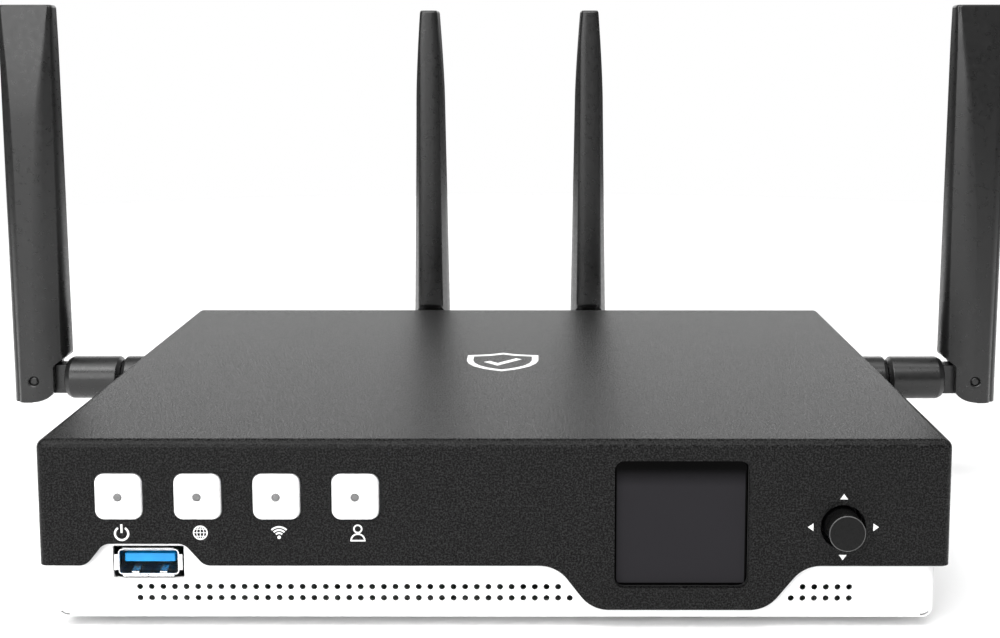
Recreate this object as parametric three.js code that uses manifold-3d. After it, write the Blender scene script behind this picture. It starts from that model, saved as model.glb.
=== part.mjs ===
// Desktop firewall appliance: a folded steel case with a display, a joystick, four keys and four antennas.
// Millimetres, +Z up, +X to the right of someone who faces the front, +Y towards the rear.
// The origin is the centre of the whole object's footprint, on the surface that its feet stand on.
// Inside the case group, y counts back from the front face and z counts up from the tray's underside.
import * as THREE from 'three';
import { mergeVertices } from 'three/addons/utils/BufferGeometryUtils.js';
import { RoundedBoxGeometry } from 'three/addons/geometries/RoundedBoxGeometry.js';
import Module from 'manifold-3d';

const wasm = await Module();
wasm.setup();

// ---------- driving dimensions ----------

const CASE = { width: 195, depth: 150, height: 40.2 };
const COVER_SHEET = 1.2;
const TRAY_SHEET = 1.0;
const BEND = 2.0; // outer radius of the cover's folded edges
const TRAY_BEND = 2.5; // outer radius of the tray's folded edges
const GAP = 0.3; // air between pieces that rest on each other
const CLEARANCE = 0.4; // air round a piece that stands in a hole in the sheet
const PAST = 5; // how far a cutting shape reaches past what it cuts
const OVERSIZE = 20; // extra length of a folded shell before its open ends are cut off
const FOOT = { height: 2.0, radius: 6.0, inset: 14, chamfer: 0.5 };

const TRAY = {
  halfWidth: 95,
  front: COVER_SHEET + GAP,
  rear: CASE.depth,
  top: CASE.height - COVER_SHEET - 0.5,
};

// Lower edge of the black front: from the left it rises over the USB socket, then dips under the display.
const SKIRT_EDGE = 12.7;
const USB_RISE = { from: -88.8, flatFrom: -82.0, flatTo: -67.6, to: -60.6, z: 17.5, radius: 3.1 };
const DISPLAY_DIP = { from: 9.6, flatFrom: 24.6, flatTo: 54.7, to: 69.9, z: 2.9, radius: 7.6 };

const VENT = { radius: 0.64, pitch: 2.5, segments: 6, rows: [7.5, 5.0] };
const VENT_GROUPS = [
  { lastX: 13.7, counts: [37, 38], stagger: 1 },
  { lastX: 76.3, counts: [5, 6], stagger: 0 },
];

const KEY = { x: [-79.9, -63.1, -46.3, -29.5], z: 27.9, width: 10.1, height: 10.0, radius: 2.0 };
const KEY_PROUD = 0.8;
const KEY_FLANGE = { overhang: 1.1, thickness: 0.8, plungerRadius: 1.7 };
const KEY_SWITCH = { halfWidth: 3, depth: 3.2, plunger: 0.8 };
const KEY_LIGHT = { radius: 0.9, recess: 1.0, depth: 2.5 };

const USB = { x: -74.3, z: 13.0, width: 13.1, height: 5.7, sheet: 0.3, length: 17 };
const USB_CUT = { width: 15.3, height: 7.2, radius: 0.4 }; // the hole in the tray's front
const USB_MOUTH = { y: 1.2, lip: 0.5, flapHalfWidth: 5.7, flap: 0.55, earHalfHeight: 1.9, ear: 0.9 };
const USB_TONGUE = { halfWidth: 5.45, low: -0.4, high: 1.5, start: 1.6, root: 11 };
const DISPLAY = { x: 40.0, z: 21.75, halfWidth: 14.3, halfHeight: 13.95, radius: 2.0, recess: 2.3 };
const BEZEL = { halfWidth: 15.8, halfHeight: 15.2, depth: 5.0, rebate: 0.6, glass: 1.0, corner: 1.2 };

const STICK = { x: 74.4, z: 21.3, knobRadius: 3.9, holeRadius: 4.8, proud: 4.4, pivot: 5.5 };
const STICK_BASE = { width: 12, start: 3.9, bore: 4.6, floor: 0.8 };
const STICK_RING = { radius: 3.6, bore: 2.2, halfThickness: 0.7, stemRadius: 1.3 };
const STICK_KNOB = { chamfer: 0.4, skirt: 3.4, bore: 1.75, cap: 1.6 };

const MAIN_BOARD = { halfWidth: 88, front: 12, rear: 146, bottom: 8.5, thickness: 1.6 };
const FRONT_BOARD = { halfWidth: 86, front: 9, thickness: 1.6, bottom: 10.5, top: 37.5 };
const USB_NOTCH = { side: 12, up: 5 }; // room that the front board leaves round the USB socket
const BOARD_TOP = MAIN_BOARD.bottom + MAIN_BOARD.thickness;

const PORTS = { count: 4, pitch: 16, x: -22, width: 66, height: 13.4, depth: 21 };
const SOCKET = { width: 11.8, height: 7.6, latchWidth: 6.2, latchHeight: 2.0, depth: 15, wall: 1.6 };
const INLET = { x: 44, width: 9, height: 11, depth: 14, holeRadius: 3.2, holeDepth: 10, pinRadius: 1.0 };
const SOCKET_PROUD = 0.2; // the sockets' faces stand this far behind the rear wall
const RESET = { x: 62, z: 14, radius: 1.3, holeRadius: 1.8, length: 4.5, collarRadius: 2.6 };
const RESET_SWITCH = { halfWidth: 3, near: 6, far: 10.5, plungerRadius: 1.2 };

const SCREW = { z: 20, s: [25, 125], holeRadius: 1.8, shankRadius: 1.5, shank: 8 };
const HEAD = { radius: 2.8, height: 1.4, flatRadius: 2.0, side: 0.8 };
const RECESS = { depth: 0.6, halfWidth: 0.35, halfLength: 1.6 }; // the cross in a screw's head
const STANDOFF = { radius: 2.6, places: [[-80, 24], [80, 24], [-80, 134], [80, 134], [0, 80]] };
const HEAT_SINK = { x: 18, y: 78, width: 64, depth: 56, base: 3, height: 15, fins: 11, fin: 1.4 };
const PROCESSOR = { halfWidth: 17, height: 1.9 };

// One antenna, with its arm along +X from the wall's outer face and its blade up.
const ARM = { z: 30, pivot: 33.5, radius: 5.9, nutEnd: 9.6, sleeveStart: 9.9, sleeveEnd: 25.4, groove: 1.0 };
const TONGUE = { thickness: 5.0, height: 8.2 };
const JACK = { radius: 3.0, holeRadius: 3.4, flangeRadius: 4.6, flange: 2.5, reach: 5.6, nutBore: 3.3 };
const SPIGOT = { radius: 2.6, length: 3.5 }; // the sleeve's end inside the nut
const BLADE = {
  below: 6.0,
  above: 104.0,
  outer: [6.6, 7.2], // pivot to outer edge, at the foot and at the tip
  inner: [9.2, 7.9], // pivot to inner edge, at the foot and at the tip
  ridge: [11.8, 10.4], // thickness on the ridge, at the foot and at the tip
  edge: 7.2, // thickness near the edges
  notch: 8.7, // height above the pivot where the inner edge is cut away
  cheek: 5.2, // pivot to the cheeks' inner edge
  round: 1.3, // width of the rounding along the edges
  slotSlack: 0.25, // air on each side of the knuckle's tongue
};
// The flat centre facet's thickness: at the foot, where its lead to the tip starts, and how far that falls.
const FACET = { foot: 11.8, lead: 9.1, leadStart: 0.72, fall: 3.5, power: 1.35, leastShare: 0.04 };
const RING_HEIGHTS = [-BLADE.below, 10, 30, 50, 66, 76, 84, 92, 98, BLADE.above];
const PIN_RADIUS = 1.2;
const PIN_SLACK = 0.1;
const SIDE_ARM_S = 102;
const REAR_ARM_X = 26.2;

// The footprint's centre: half way between the joystick's tip and the rear blades' outer edge.
const REARMOST = CASE.depth + ARM.pivot + BLADE.outer[1];
const FRONT_Y = -(REARMOST - STICK.proud) / 2;

// ---------- small tools ----------

const solid = (geometry) => {
  const bare = geometry.clone();
  bare.deleteAttribute('normal');
  bare.deleteAttribute('uv');
  const merged = mergeVertices(bare, 1e-4);
  return new wasm.Manifold(new wasm.Mesh({
    numProp: 3,
    vertProperties: new Float32Array(merged.attributes.position.array),
    triVerts: new Uint32Array(merged.index.array),
  }));
};

const geometryOf = (body) => {
  const mesh = body.getMesh();
  const geometry = new THREE.BufferGeometry();
  geometry.setAttribute('position', new THREE.BufferAttribute(mesh.vertProperties, 3));
  geometry.setIndex(new THREE.BufferAttribute(mesh.triVerts, 1));
  geometry.computeVertexNormals();
  return geometry;
};

const join = (first, ...rest) => rest.reduce((sum, piece) => sum.add(piece), first);
const cut = (first, ...rest) => rest.reduce((left, piece) => left.subtract(piece), first);

const block = (x0, x1, y0, y1, z0, z1) => {
  const geometry = new THREE.BoxGeometry(x1 - x0, y1 - y0, z1 - z0);
  return solid(geometry.translate((x0 + x1) / 2, (y0 + y1) / 2, (z0 + z1) / 2));
};

// A round rod between two places on an axis that runs along 'x', 'y' or 'z' through the point (a, b).
const rod = (axis, a, b, from, to, radius, segments = 20) => {
  const geometry = new THREE.CylinderGeometry(radius, radius, to - from, segments);
  const middle = (from + to) / 2;
  if (axis === 'x') geometry.rotateZ(-Math.PI / 2).translate(middle, a, b);
  if (axis === 'y') geometry.translate(a, middle, b);
  if (axis === 'z') geometry.rotateX(Math.PI / 2).translate(a, b, middle);
  return solid(geometry);
};

// A solid of revolution about +X, from [x, radius] points.
const turned = (points, segments = 24) => {
  const profile = points.map(([x, radius]) => new THREE.Vector2(radius, x));
  return solid(new THREE.LatheGeometry(profile, segments).rotateZ(-Math.PI / 2));
};

const roundedRect = (width, height, radius, x = 0, z = 0) => {
  const shape = new THREE.Shape();
  const [right, top] = [width / 2 - radius, height / 2 - radius];
  const turn = Math.PI / 2;
  shape.absarc(x + right, z + top, radius, 0, turn, false);
  shape.absarc(x - right, z + top, radius, turn, 2 * turn, false);
  shape.absarc(x - right, z - top, radius, 2 * turn, 3 * turn, false);
  shape.absarc(x + right, z - top, radius, 3 * turn, 4 * turn, false);
  return shape;
};

// Extrudes an outline drawn in x and z from y0 back to y1.
const plate = (shape, y0, y1, options = {}) => {
  const settings = { depth: y1 - y0, bevelEnabled: false, curveSegments: 2, ...options };
  return solid(new THREE.ExtrudeGeometry(shape, settings).rotateX(Math.PI / 2).translate(0, y1, 0));
};

const slab = (width, height, radius, x, z, y0, y1) => {
  const outline = roundedRect(width, height, radius, x, z);
  return plate(outline, y0, y1);
};

const roundedBlock = (x0, x1, y0, y1, z0, z1, radius, segments = 2) => {
  const geometry = new RoundedBoxGeometry(x1 - x0, y1 - y0, z1 - z0, segments, radius);
  return solid(geometry.translate((x0 + x1) / 2, (y0 + y1) / 2, (z0 + z1) / 2));
};

const paint = {
  blackSheet: new THREE.MeshStandardMaterial({ color: 0x2b2b2c, roughness: 0.62, metalness: 0.2 }),
  whiteSheet: new THREE.MeshStandardMaterial({ color: 0xf2f2f0, roughness: 0.5, metalness: 0.1 }),
  whitePlastic: new THREE.MeshStandardMaterial({ color: 0xf6f5f2, roughness: 0.35 }),
  greyLens: new THREE.MeshStandardMaterial({ color: 0x7d7d7d, roughness: 0.3 }),
  blackPlastic: new THREE.MeshStandardMaterial({ color: 0x29292a, roughness: 0.45 }),
  knobPlastic: new THREE.MeshStandardMaterial({ color: 0x1f1f20, roughness: 0.35 }),
  rubber: new THREE.MeshStandardMaterial({ color: 0x1a1a1a, roughness: 0.9 }),
  glass: new THREE.MeshStandardMaterial({ color: 0x2e2e31, roughness: 0.08 }),
  steel: new THREE.MeshStandardMaterial({ color: 0xc9c9c6, roughness: 0.3, metalness: 1 }),
  brass: new THREE.MeshStandardMaterial({ color: 0xc9a55a, roughness: 0.3, metalness: 1 }),
  aluminium: new THREE.MeshStandardMaterial({ color: 0x9a9da0, roughness: 0.4, metalness: 1 }),
  blueTongue: new THREE.MeshStandardMaterial({ color: 0x1a8fe0, roughness: 0.4 }),
  board: new THREE.MeshStandardMaterial({ color: 0x1d5a3a, roughness: 0.55 }),
  chip: new THREE.MeshStandardMaterial({ color: 0x202224, roughness: 0.5 }),
};

const part = (name, body, material) => {
  const mesh = new THREE.Mesh(geometryOf(body), material);
  mesh.name = name;
  return mesh;
};

// ---------- case ----------

// Continues a path to (x, z) with an arc, a straight slope and an arc, level at both ends.
const addStep = (path, x, z, radius) => {
  const start = path.currentPoint.clone();
  const up = Math.sign(z - start.y);
  const rise = Math.abs(z - start.y) - 2 * radius;
  const run = x - start.x;
  const slope = Math.atan2(rise, run) + Math.asin((2 * radius) / Math.hypot(run, rise));
  const quarter = Math.PI / 2;
  path.absarc(start.x, start.y + up * radius, radius, -up * quarter, up * (slope - quarter), up < 0);
  path.absarc(x, z - up * radius, radius, up * (slope + quarter), up * quarter, up > 0);
};

const skirtCutter = () => {
  const outline = new THREE.Shape();
  const side = CASE.width / 2 + PAST;
  const bottom = -3 * OVERSIZE;
  outline.moveTo(-side, SKIRT_EDGE);
  for (const bump of [USB_RISE, DISPLAY_DIP]) {
    outline.lineTo(bump.from, SKIRT_EDGE);
    addStep(outline, bump.flatFrom, bump.z, bump.radius);
    outline.lineTo(bump.flatTo, bump.z);
    addStep(outline, bump.to, SKIRT_EDGE, bump.radius);
  }
  outline.lineTo(side, SKIRT_EDGE);
  outline.lineTo(side, bottom);
  outline.lineTo(-side, bottom);
  return plate(outline, -PAST, 2 * BEND, { curveSegments: 3 });
};

const sidePair = (make) => [make(-1), make(1)];

// Holes right through both side walls, for the antenna jacks and the cover's screws.
const sideHoles = (half) => [
  rod('x', SIDE_ARM_S, ARM.z, -half - 1, half + 1, JACK.holeRadius, 12),
  ...SCREW.s.map((s) => rod('x', s, SCREW.z, -half - 1, half + 1, SCREW.holeRadius, 8)),
];

const makeTopCover = () => {
  const half = CASE.width / 2;
  const inside = half - COVER_SHEET;
  const longer = CASE.depth + OVERSIZE;
  const outer = roundedBlock(-half, half, 0, longer, -OVERSIZE, CASE.height, BEND);
  const hollow = roundedBlock(
    -inside, inside, COVER_SHEET, longer + OVERSIZE, -2 * OVERSIZE, CASE.height - COVER_SHEET,
    BEND - COVER_SHEET, 1,
  );
  const shell = cut(
    outer,
    hollow,
    block(-half - PAST, half + PAST, CASE.depth, longer + PAST, -2 * OVERSIZE, CASE.height + PAST),
    block(-half - PAST, half + PAST, BEND + 1, longer + PAST, -2 * OVERSIZE, SKIRT_EDGE),
    skirtCutter(),
  );
  const through = [-PAST, COVER_SHEET + GAP];
  const windows = KEY.x.map((x) => slab(
    KEY.width + CLEARANCE, KEY.height + CLEARANCE, KEY.radius + CLEARANCE / 2, x, KEY.z, ...through,
  ));
  const { halfWidth, halfHeight, radius } = DISPLAY;
  const display = slab(2 * halfWidth, 2 * halfHeight, radius, DISPLAY.x, DISPLAY.z, ...through);
  const stick = rod('y', STICK.x, STICK.z, ...through, STICK.holeRadius, 28);
  return part('top_cover', cut(shell, ...windows, display, stick, ...sideHoles(half)), paint.blackSheet);
};

const ventHoles = () => {
  const holes = [];
  for (const group of VENT_GROUPS) {
    VENT.rows.forEach((z, row) => {
      const last = group.lastX + row * group.stagger * VENT.pitch;
      for (let i = 0; i < group.counts[row]; i += 1) {
        holes.push(rod('y', last - i * VENT.pitch, z, 0, PAST, VENT.radius, VENT.segments));
      }
    });
  }
  return holes;
};

const rearCutouts = () => {
  const [y0, y1] = [TRAY.rear - TRAY_BEND, TRAY.rear + PAST];
  const around = ({ x, width, height }) => {
    const half = width / 2 + CLEARANCE;
    return block(x - half, x + half, y0, y1, BOARD_TOP, BOARD_TOP + height + CLEARANCE);
  };
  return [
    around(PORTS),
    around(INLET),
    rod('y', RESET.x, RESET.z, y0, y1, RESET.holeRadius, 16),
    ...sidePair((side) => rod('y', side * REAR_ARM_X, ARM.z, y0, y1, JACK.holeRadius, 12)),
  ];
};

const standoffs = () => STANDOFF.places.map(
  ([x, y]) => rod('z', x, y, TRAY_SHEET / 2, MAIN_BOARD.bottom - GAP, STANDOFF.radius, 10),
);

const makeBaseTray = () => {
  const half = TRAY.halfWidth;
  const inside = half - TRAY_SHEET;
  const taller = TRAY.top + OVERSIZE;
  const outer = roundedBlock(-half, half, TRAY.front, TRAY.rear, 0, taller, TRAY_BEND);
  const hollow = roundedBlock(
    -inside, inside, TRAY.front + TRAY_SHEET, TRAY.rear - TRAY_SHEET, TRAY_SHEET, taller + OVERSIZE,
    TRAY_BEND - TRAY_SHEET, 1,
  );
  const open = block(-half - PAST, half + PAST, -PAST, TRAY.rear + PAST, TRAY.top, taller + PAST);
  const tray = cut(outer, hollow, open);
  const through = [0, PAST];
  const air = 2 * CLEARANCE;
  const holes = [
    slab(USB_CUT.width, USB_CUT.height, USB_CUT.radius, USB.x, USB.z, ...through),
    slab(2 * BEZEL.halfWidth + air, 2 * BEZEL.halfHeight + air, 1.4, DISPLAY.x, DISPLAY.z, ...through),
    rod('y', STICK.x, STICK.z, ...through, STICK_BASE.width / 2, 20),
    ...KEY.x.map((x) => slab(KEY.width + 1, KEY.height + 1, KEY.radius + CLEARANCE, x, KEY.z, ...through)),
    ...sideHoles(half),
    ...rearCutouts(),
    ...ventHoles(),
  ];
  return part('base_tray', join(cut(tray, ...holes), ...standoffs()), paint.whiteSheet);
};

const makeScrew = (name, side, s) => {
  const face = CASE.width / 2 + GAP;
  const { depth, halfWidth, halfLength } = RECESS;
  const { radius, height, flatRadius } = HEAD;
  const head = turned([[0, 0], [0, radius], [HEAD.side, radius], [height, flatRadius], [height, 0]], 12);
  const [floor, above] = [height - depth, height + 1];
  const recess = join(
    block(floor, above, -halfWidth, halfWidth, -halfLength, halfLength),
    block(floor, above, -halfLength, halfLength, -halfWidth, halfWidth),
  );
  const body = join(head, rod('x', 0, 0, -SCREW.shank, floor / 2, SCREW.shankRadius, 8));
  const mesh = part(name, cut(body, recess), paint.blackPlastic);
  mesh.position.set(side * face, s, SCREW.z);
  mesh.rotation.z = side > 0 ? 0 : Math.PI;
  return mesh;
};

const makeFoot = (name, x, s) => {
  const { radius, chamfer } = FOOT;
  const top = FOOT.height - GAP;
  const profile = [[0, 0], [0, radius - chamfer], [chamfer, radius], [top, radius], [top, 0]];
  const mesh = part(name, turned(profile, 16), paint.rubber);
  mesh.rotation.y = -Math.PI / 2;
  mesh.position.set(x, s, -FOOT.height);
  return mesh;
};

// ---------- display, boards and switches ----------

const makeDisplay = () => {
  const { x, z, halfWidth, halfHeight, radius } = DISPLAY;
  const front = COVER_SHEET + GAP;
  const back = front + BEZEL.depth;
  const { rebate, glass, corner } = BEZEL;
  const pocket = [2 * (halfWidth + rebate), 2 * (halfHeight + rebate)];
  const pane = pocket.map((size) => size - 2 * GAP);
  const bezel = cut(
    slab(2 * BEZEL.halfWidth, 2 * BEZEL.halfHeight, corner, x, z, front, back),
    slab(2 * halfWidth, 2 * halfHeight, radius, x, z, 0, back + 1),
    slab(...pocket, corner, x, z, DISPLAY.recess, back + 1),
  );
  const glassFront = DISPLAY.recess + GAP;
  const panelFront = glassFront + glass + GAP;
  return [
    part('display_bezel', bezel, paint.blackPlastic),
    part('display_glass', slab(...pane, corner, x, z, glassFront, glassFront + glass), paint.glass),
    part('display_panel', slab(...pane, corner, x, z, panelFront, back - 0.1), paint.chip),
  ];
};

const makeFrontBoard = () => {
  const { halfWidth, front, thickness, bottom, top } = FRONT_BOARD;
  const back = front + thickness;
  const board = cut(
    block(-halfWidth, halfWidth, front, back, bottom, top),
    block(-halfWidth - 1, USB.x + USB_NOTCH.side, front - 1, back + 1, 0, USB.z + USB_NOTCH.up),
  );
  return part('front_board', board, paint.board);
};

const makeKeySwitch = (name, x) => {
  const back = FRONT_BOARD.front - GAP;
  const { halfWidth, depth, plunger } = KEY_SWITCH;
  const body = join(
    block(x - halfWidth, x + halfWidth, back - depth, back, KEY.z - halfWidth, KEY.z + halfWidth),
    rod('y', x, KEY.z, back - depth - plunger, back - depth / 2, KEY_FLANGE.plungerRadius, 14),
  );
  return part(name, body, paint.blackPlastic);
};

const makeKeyCap = (name, x) => {
  const { z, width, height, radius } = KEY;
  const { overhang, thickness, plungerRadius } = KEY_FLANGE;
  const [face, round] = [0.5, 0.6];
  const bevel = {
    bevelEnabled: true, bevelSegments: 2, bevelSize: round, bevelThickness: face, bevelOffset: -round,
  };
  const flangeFront = TRAY.front + TRAY_SHEET + GAP;
  const flangeBack = flangeFront + thickness;
  const cap = join(
    plate(roundedRect(width, height, radius, x, z), -KEY_PROUD + face, flangeFront + GAP, bevel),
    slab(width + 2 * overhang, height + 2 * overhang, radius, x, z, flangeFront, flangeBack),
    rod('y', x, z, flangeFront, flangeBack + face, plungerRadius, 14),
  );
  const hole = rod('y', x, z, -KEY_PROUD - 1, -KEY_PROUD + KEY_LIGHT.depth, KEY_LIGHT.radius, 12);
  return part(name, cut(cap, hole), paint.whitePlastic);
};

const makeKeyLight = (name, x) => {
  const start = -KEY_PROUD + KEY_LIGHT.recess;
  const end = -KEY_PROUD + KEY_LIGHT.depth - 0.1;
  return part(name, rod('y', x, KEY.z, start, end, KEY_LIGHT.radius - 0.1, 12), paint.greyLens);
};

// ---------- joystick ----------

const makeJoystick = () => {
  const { x, z, pivot, proud, knobRadius } = STICK;
  const { radius: ringRadius, bore: ringBore, halfThickness, stemRadius } = STICK_RING;
  const { chamfer, skirt, bore, cap } = STICK_KNOB;
  const back = FRONT_BOARD.front - GAP;
  const base = cut(
    slab(STICK_BASE.width, STICK_BASE.width, 1, x, z, STICK_BASE.start, back),
    rod('y', x, z, 0, back - STICK_BASE.floor, STICK_BASE.bore, 24),
  );
  const ring = cut(
    rod('y', x, z, pivot - halfThickness, pivot + halfThickness, ringRadius, 20),
    rod('y', x, z, pivot - PAST, pivot + PAST, ringBore, 20),
  );
  const stem = rod('y', x, z, -proud + cap + 0.4, pivot + 1.6, stemRadius, 16);
  const knob = turned([
    [0, 0], [0, knobRadius - chamfer], [chamfer, knobRadius], [proud + skirt, knobRadius],
    [proud + skirt, bore], [cap, bore], [cap, 0],
  ], 28);
  const knobMesh = part('joystick_knob', knob, paint.knobPlastic);
  knobMesh.rotation.z = Math.PI / 2;
  knobMesh.position.set(x, -proud, z);
  return [
    part('joystick_base', base, paint.blackPlastic),
    part('joystick_ring', ring, paint.steel),
    part('joystick_stem', stem, paint.steel),
    knobMesh,
  ];
};

// ---------- sockets ----------

const makeUsb = () => {
  const { x, z, width, height, sheet, length } = USB;
  const { y: mouth, lip, flapHalfWidth, flap, earHalfHeight, ear } = USB_MOUTH;
  const end = mouth + length;
  const [flapTop, earEnd] = [height / 2 + flap, width / 2 + ear];
  const inside = [width - 2 * sheet, height - 2 * sheet];
  const shell = cut(
    join(
      slab(width, height, 0.7, x, z, mouth, end),
      block(x - flapHalfWidth, x + flapHalfWidth, mouth, mouth + lip, z - flapTop, z + flapTop),
      block(x - earEnd, x + earEnd, mouth, mouth + lip, z - earHalfHeight, z + earHalfHeight),
    ),
    slab(...inside, 0.5, x, z, mouth - 1, end + 1),
  );
  const root = inside.map((size) => size - GAP);
  const { halfWidth: half, low, high, start } = USB_TONGUE;
  const tongue = join(
    slab(...root, 0.4, x, z, mouth + USB_TONGUE.root, end - 0.5),
    block(x - half, x + half, mouth + start, mouth + USB_TONGUE.root + 0.5, z + low, z + high),
  );
  return [part('usb_shell', shell, paint.steel), part('usb_tongue', tongue, paint.blueTongue)];
};

const makePorts = () => {
  const { x, width, height, depth, pitch, count } = PORTS;
  const back = TRAY.rear + SOCKET_PROUD;
  const bottom = BOARD_TOP + GAP;
  const body = block(x - width / 2, x + width / 2, back - depth, back, bottom, bottom + height - GAP);
  const floor = bottom + SOCKET.wall + SOCKET.latchHeight;
  const [halfPlug, halfLatch] = [SOCKET.width / 2, SOCKET.latchWidth / 2];
  const sockets = [];
  for (let i = 0; i < count; i += 1) {
    const centre = x + (i - (count - 1) / 2) * pitch;
    const [y0, y1] = [back - SOCKET.depth, back + 1];
    sockets.push(
      block(centre - halfPlug, centre + halfPlug, y0, y1, floor, floor + SOCKET.height),
      block(centre - halfLatch, centre + halfLatch, y0, y1, floor - SOCKET.latchHeight, floor + 1),
    );
  }
  return part('network_port_block', cut(body, ...sockets), paint.aluminium);
};

const makeInlet = () => {
  const { x, width, height, depth, holeRadius, holeDepth, pinRadius } = INLET;
  const back = TRAY.rear + SOCKET_PROUD;
  const bottom = BOARD_TOP + GAP;
  const z = bottom + (height - GAP) / 2;
  const housing = cut(
    block(x - width / 2, x + width / 2, back - depth, back, bottom, bottom + height - GAP),
    rod('y', x, z, back - holeDepth, back + 1, holeRadius, 24),
  );
  const pin = rod('y', x, z, back - holeDepth - 1, back - 0.8, pinRadius, 12);
  return part('power_inlet', join(housing, pin), paint.blackPlastic);
};

const makeReset = () => {
  const { x, z, radius, length, collarRadius } = RESET;
  const { halfWidth, near, far, plungerRadius } = RESET_SWITCH;
  const inner = TRAY.rear - TRAY_SHEET;
  const plunger = join(
    rod('y', x, z, inner - length, TRAY.rear - 0.2, radius, 16),
    rod('y', x, z, inner - GAP - 1, inner - GAP, collarRadius, 16),
  );
  const contact = join(
    block(x - halfWidth, x + halfWidth, inner - far, inner - near, BOARD_TOP + GAP, z + halfWidth),
    rod('y', x, z, inner - near - 0.2, inner - near + 0.8, plungerRadius, 12),
  );
  return [part('reset_button', plunger, paint.blackPlastic), part('reset_switch', contact, paint.chip)];
};

// ---------- electronics ----------

const makeHeatSink = () => {
  const { x, y, width, depth, base, height, fins, fin } = HEAT_SINK;
  const bottom = BOARD_TOP + PROCESSOR.height + 3 * GAP;
  const [left, front] = [x - width / 2, y - depth / 2];
  const pitch = (width - fin) / (fins - 1);
  const pieces = [];
  for (let i = 0; i < fins; i += 1) {
    const edge = left + i * pitch;
    pieces.push(block(edge, edge + fin, front, front + depth, bottom + base / 2, bottom + height));
  }
  const plateBody = block(left, left + width, front, front + depth, bottom, bottom + base);
  return part('heat_sink', join(plateBody, ...pieces), paint.aluminium);
};

const makeElectronics = () => {
  const { halfWidth, front, rear, bottom } = MAIN_BOARD;
  const chipBottom = BOARD_TOP + GAP;
  const { x, y } = HEAT_SINK;
  const half = PROCESSOR.halfWidth;
  // The Wi-Fi card: its board, the socket that holds it over the main board, and its shield can.
  const card = join(
    block(-62, -40, 60, 90, BOARD_TOP + 3, BOARD_TOP + 4),
    block(-60, -42, 88, 95, chipBottom, BOARD_TOP + 4.6),
    block(-58, -44, 64, 76, BOARD_TOP + 3.8, BOARD_TOP + 6),
  );
  const chipTop = chipBottom + PROCESSOR.height;
  const processor = block(x - half, x + half, y - half, y + half, chipBottom, chipTop);
  return [
    part('main_board', block(-halfWidth, halfWidth, front, rear, bottom, BOARD_TOP), paint.board),
    part('processor', processor, paint.chip),
    part('wifi_card', card, paint.board),
    makeHeatSink(),
  ];
};

// ---------- antennas ----------

const mix = (pair, t) => pair[0] + (pair[1] - pair[0]) * t;

// Thickness of the blade where its flat centre facet is, at a height t from 0 at the foot to 1 at the tip.
const facetThickness = (t) => {
  const { foot, lead, leadStart, fall, power } = FACET;
  const body = mix([foot, lead], Math.min(t / leadStart, 1));
  const towardsTip = Math.max(0, (t - leadStart) / (1 - leadStart));
  return body - fall * towardsTip ** power;
};

// One ring of the blade at height z: the centre facet, two sloping flanks and rounded edges.
const bladeRing = (z, t) => {
  const [outer, inner, ridge] = [mix(BLADE.outer, t), -mix(BLADE.inner, t), mix(BLADE.ridge, t)];
  const facet = Math.min(facetThickness(t), ridge);
  const flank = Math.min(BLADE.edge, facet);
  const nose = flank / 4;
  const { round } = BLADE;
  const share = Math.min(1, Math.max(FACET.leastShare, (ridge - facet) / (ridge - BLADE.edge)));
  const half = [
    [outer, nose],
    [outer - round, flank / 2],
    [(outer - round) * share, facet / 2],
    [(inner + round) * share, facet / 2],
    [inner + round, flank / 2],
    [inner, nose],
  ];
  const back = half.map(([x, y]) => [x, -y]).reverse();
  return [...half, ...back].map(([x, y]) => new THREE.Vector3(x, y, z));
};

// Joins rings of equal length into one closed body, with a fan on each end.
const loft = (rings) => {
  const count = rings[0].length;
  const points = rings.flat();
  const faces = [];
  for (let ring = 0; ring < rings.length - 1; ring += 1) {
    for (let i = 0; i < count; i += 1) {
      const [a, b] = [ring * count + i, ring * count + ((i + 1) % count)];
      faces.push(a, b, b + count, a, b + count, a + count);
    }
  }
  const last = (rings.length - 1) * count;
  for (let i = 1; i < count - 1; i += 1) {
    faces.push(0, i + 1, i, last, last + i, last + i + 1);
  }
  const geometry = new THREE.BufferGeometry().setFromPoints(points);
  geometry.setIndex(faces);
  return solid(geometry);
};

const makeBlade = (name) => {
  const rings = RING_HEIGHTS.map((z) => bladeRing(z, Math.max(0, z) / BLADE.above));
  const { notch, cheek, below } = BLADE;
  const far = 2 * BLADE.inner[0];
  // What is cut from the foot's inner side, along a sloping shoulder, the cheeks' edge and a round corner.
  const away = new THREE.Shape();
  away.moveTo(-far, notch);
  away.lineTo(-BLADE.inner[0], notch);
  away.lineTo(-cheek, notch - 3.6);
  away.lineTo(-cheek, -3.2);
  away.quadraticCurveTo(-cheek + 1.2, -below + 0.3, 0.5, -below + 0.1);
  away.lineTo(0.5, -below - PAST);
  away.lineTo(-far, -below - PAST);
  const slot = TONGUE.thickness / 2 + BLADE.slotSlack;
  const reach = TONGUE.height / 2 + CLEARANCE;
  const body = cut(
    loft(rings),
    plate(away, -far, far),
    block(-far, reach, -slot, slot, -far, reach),
    rod('y', 0, 0, -far, far, PIN_RADIUS + PIN_SLACK, 10),
  );
  return part(name, body, paint.blackPlastic);
};

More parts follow.
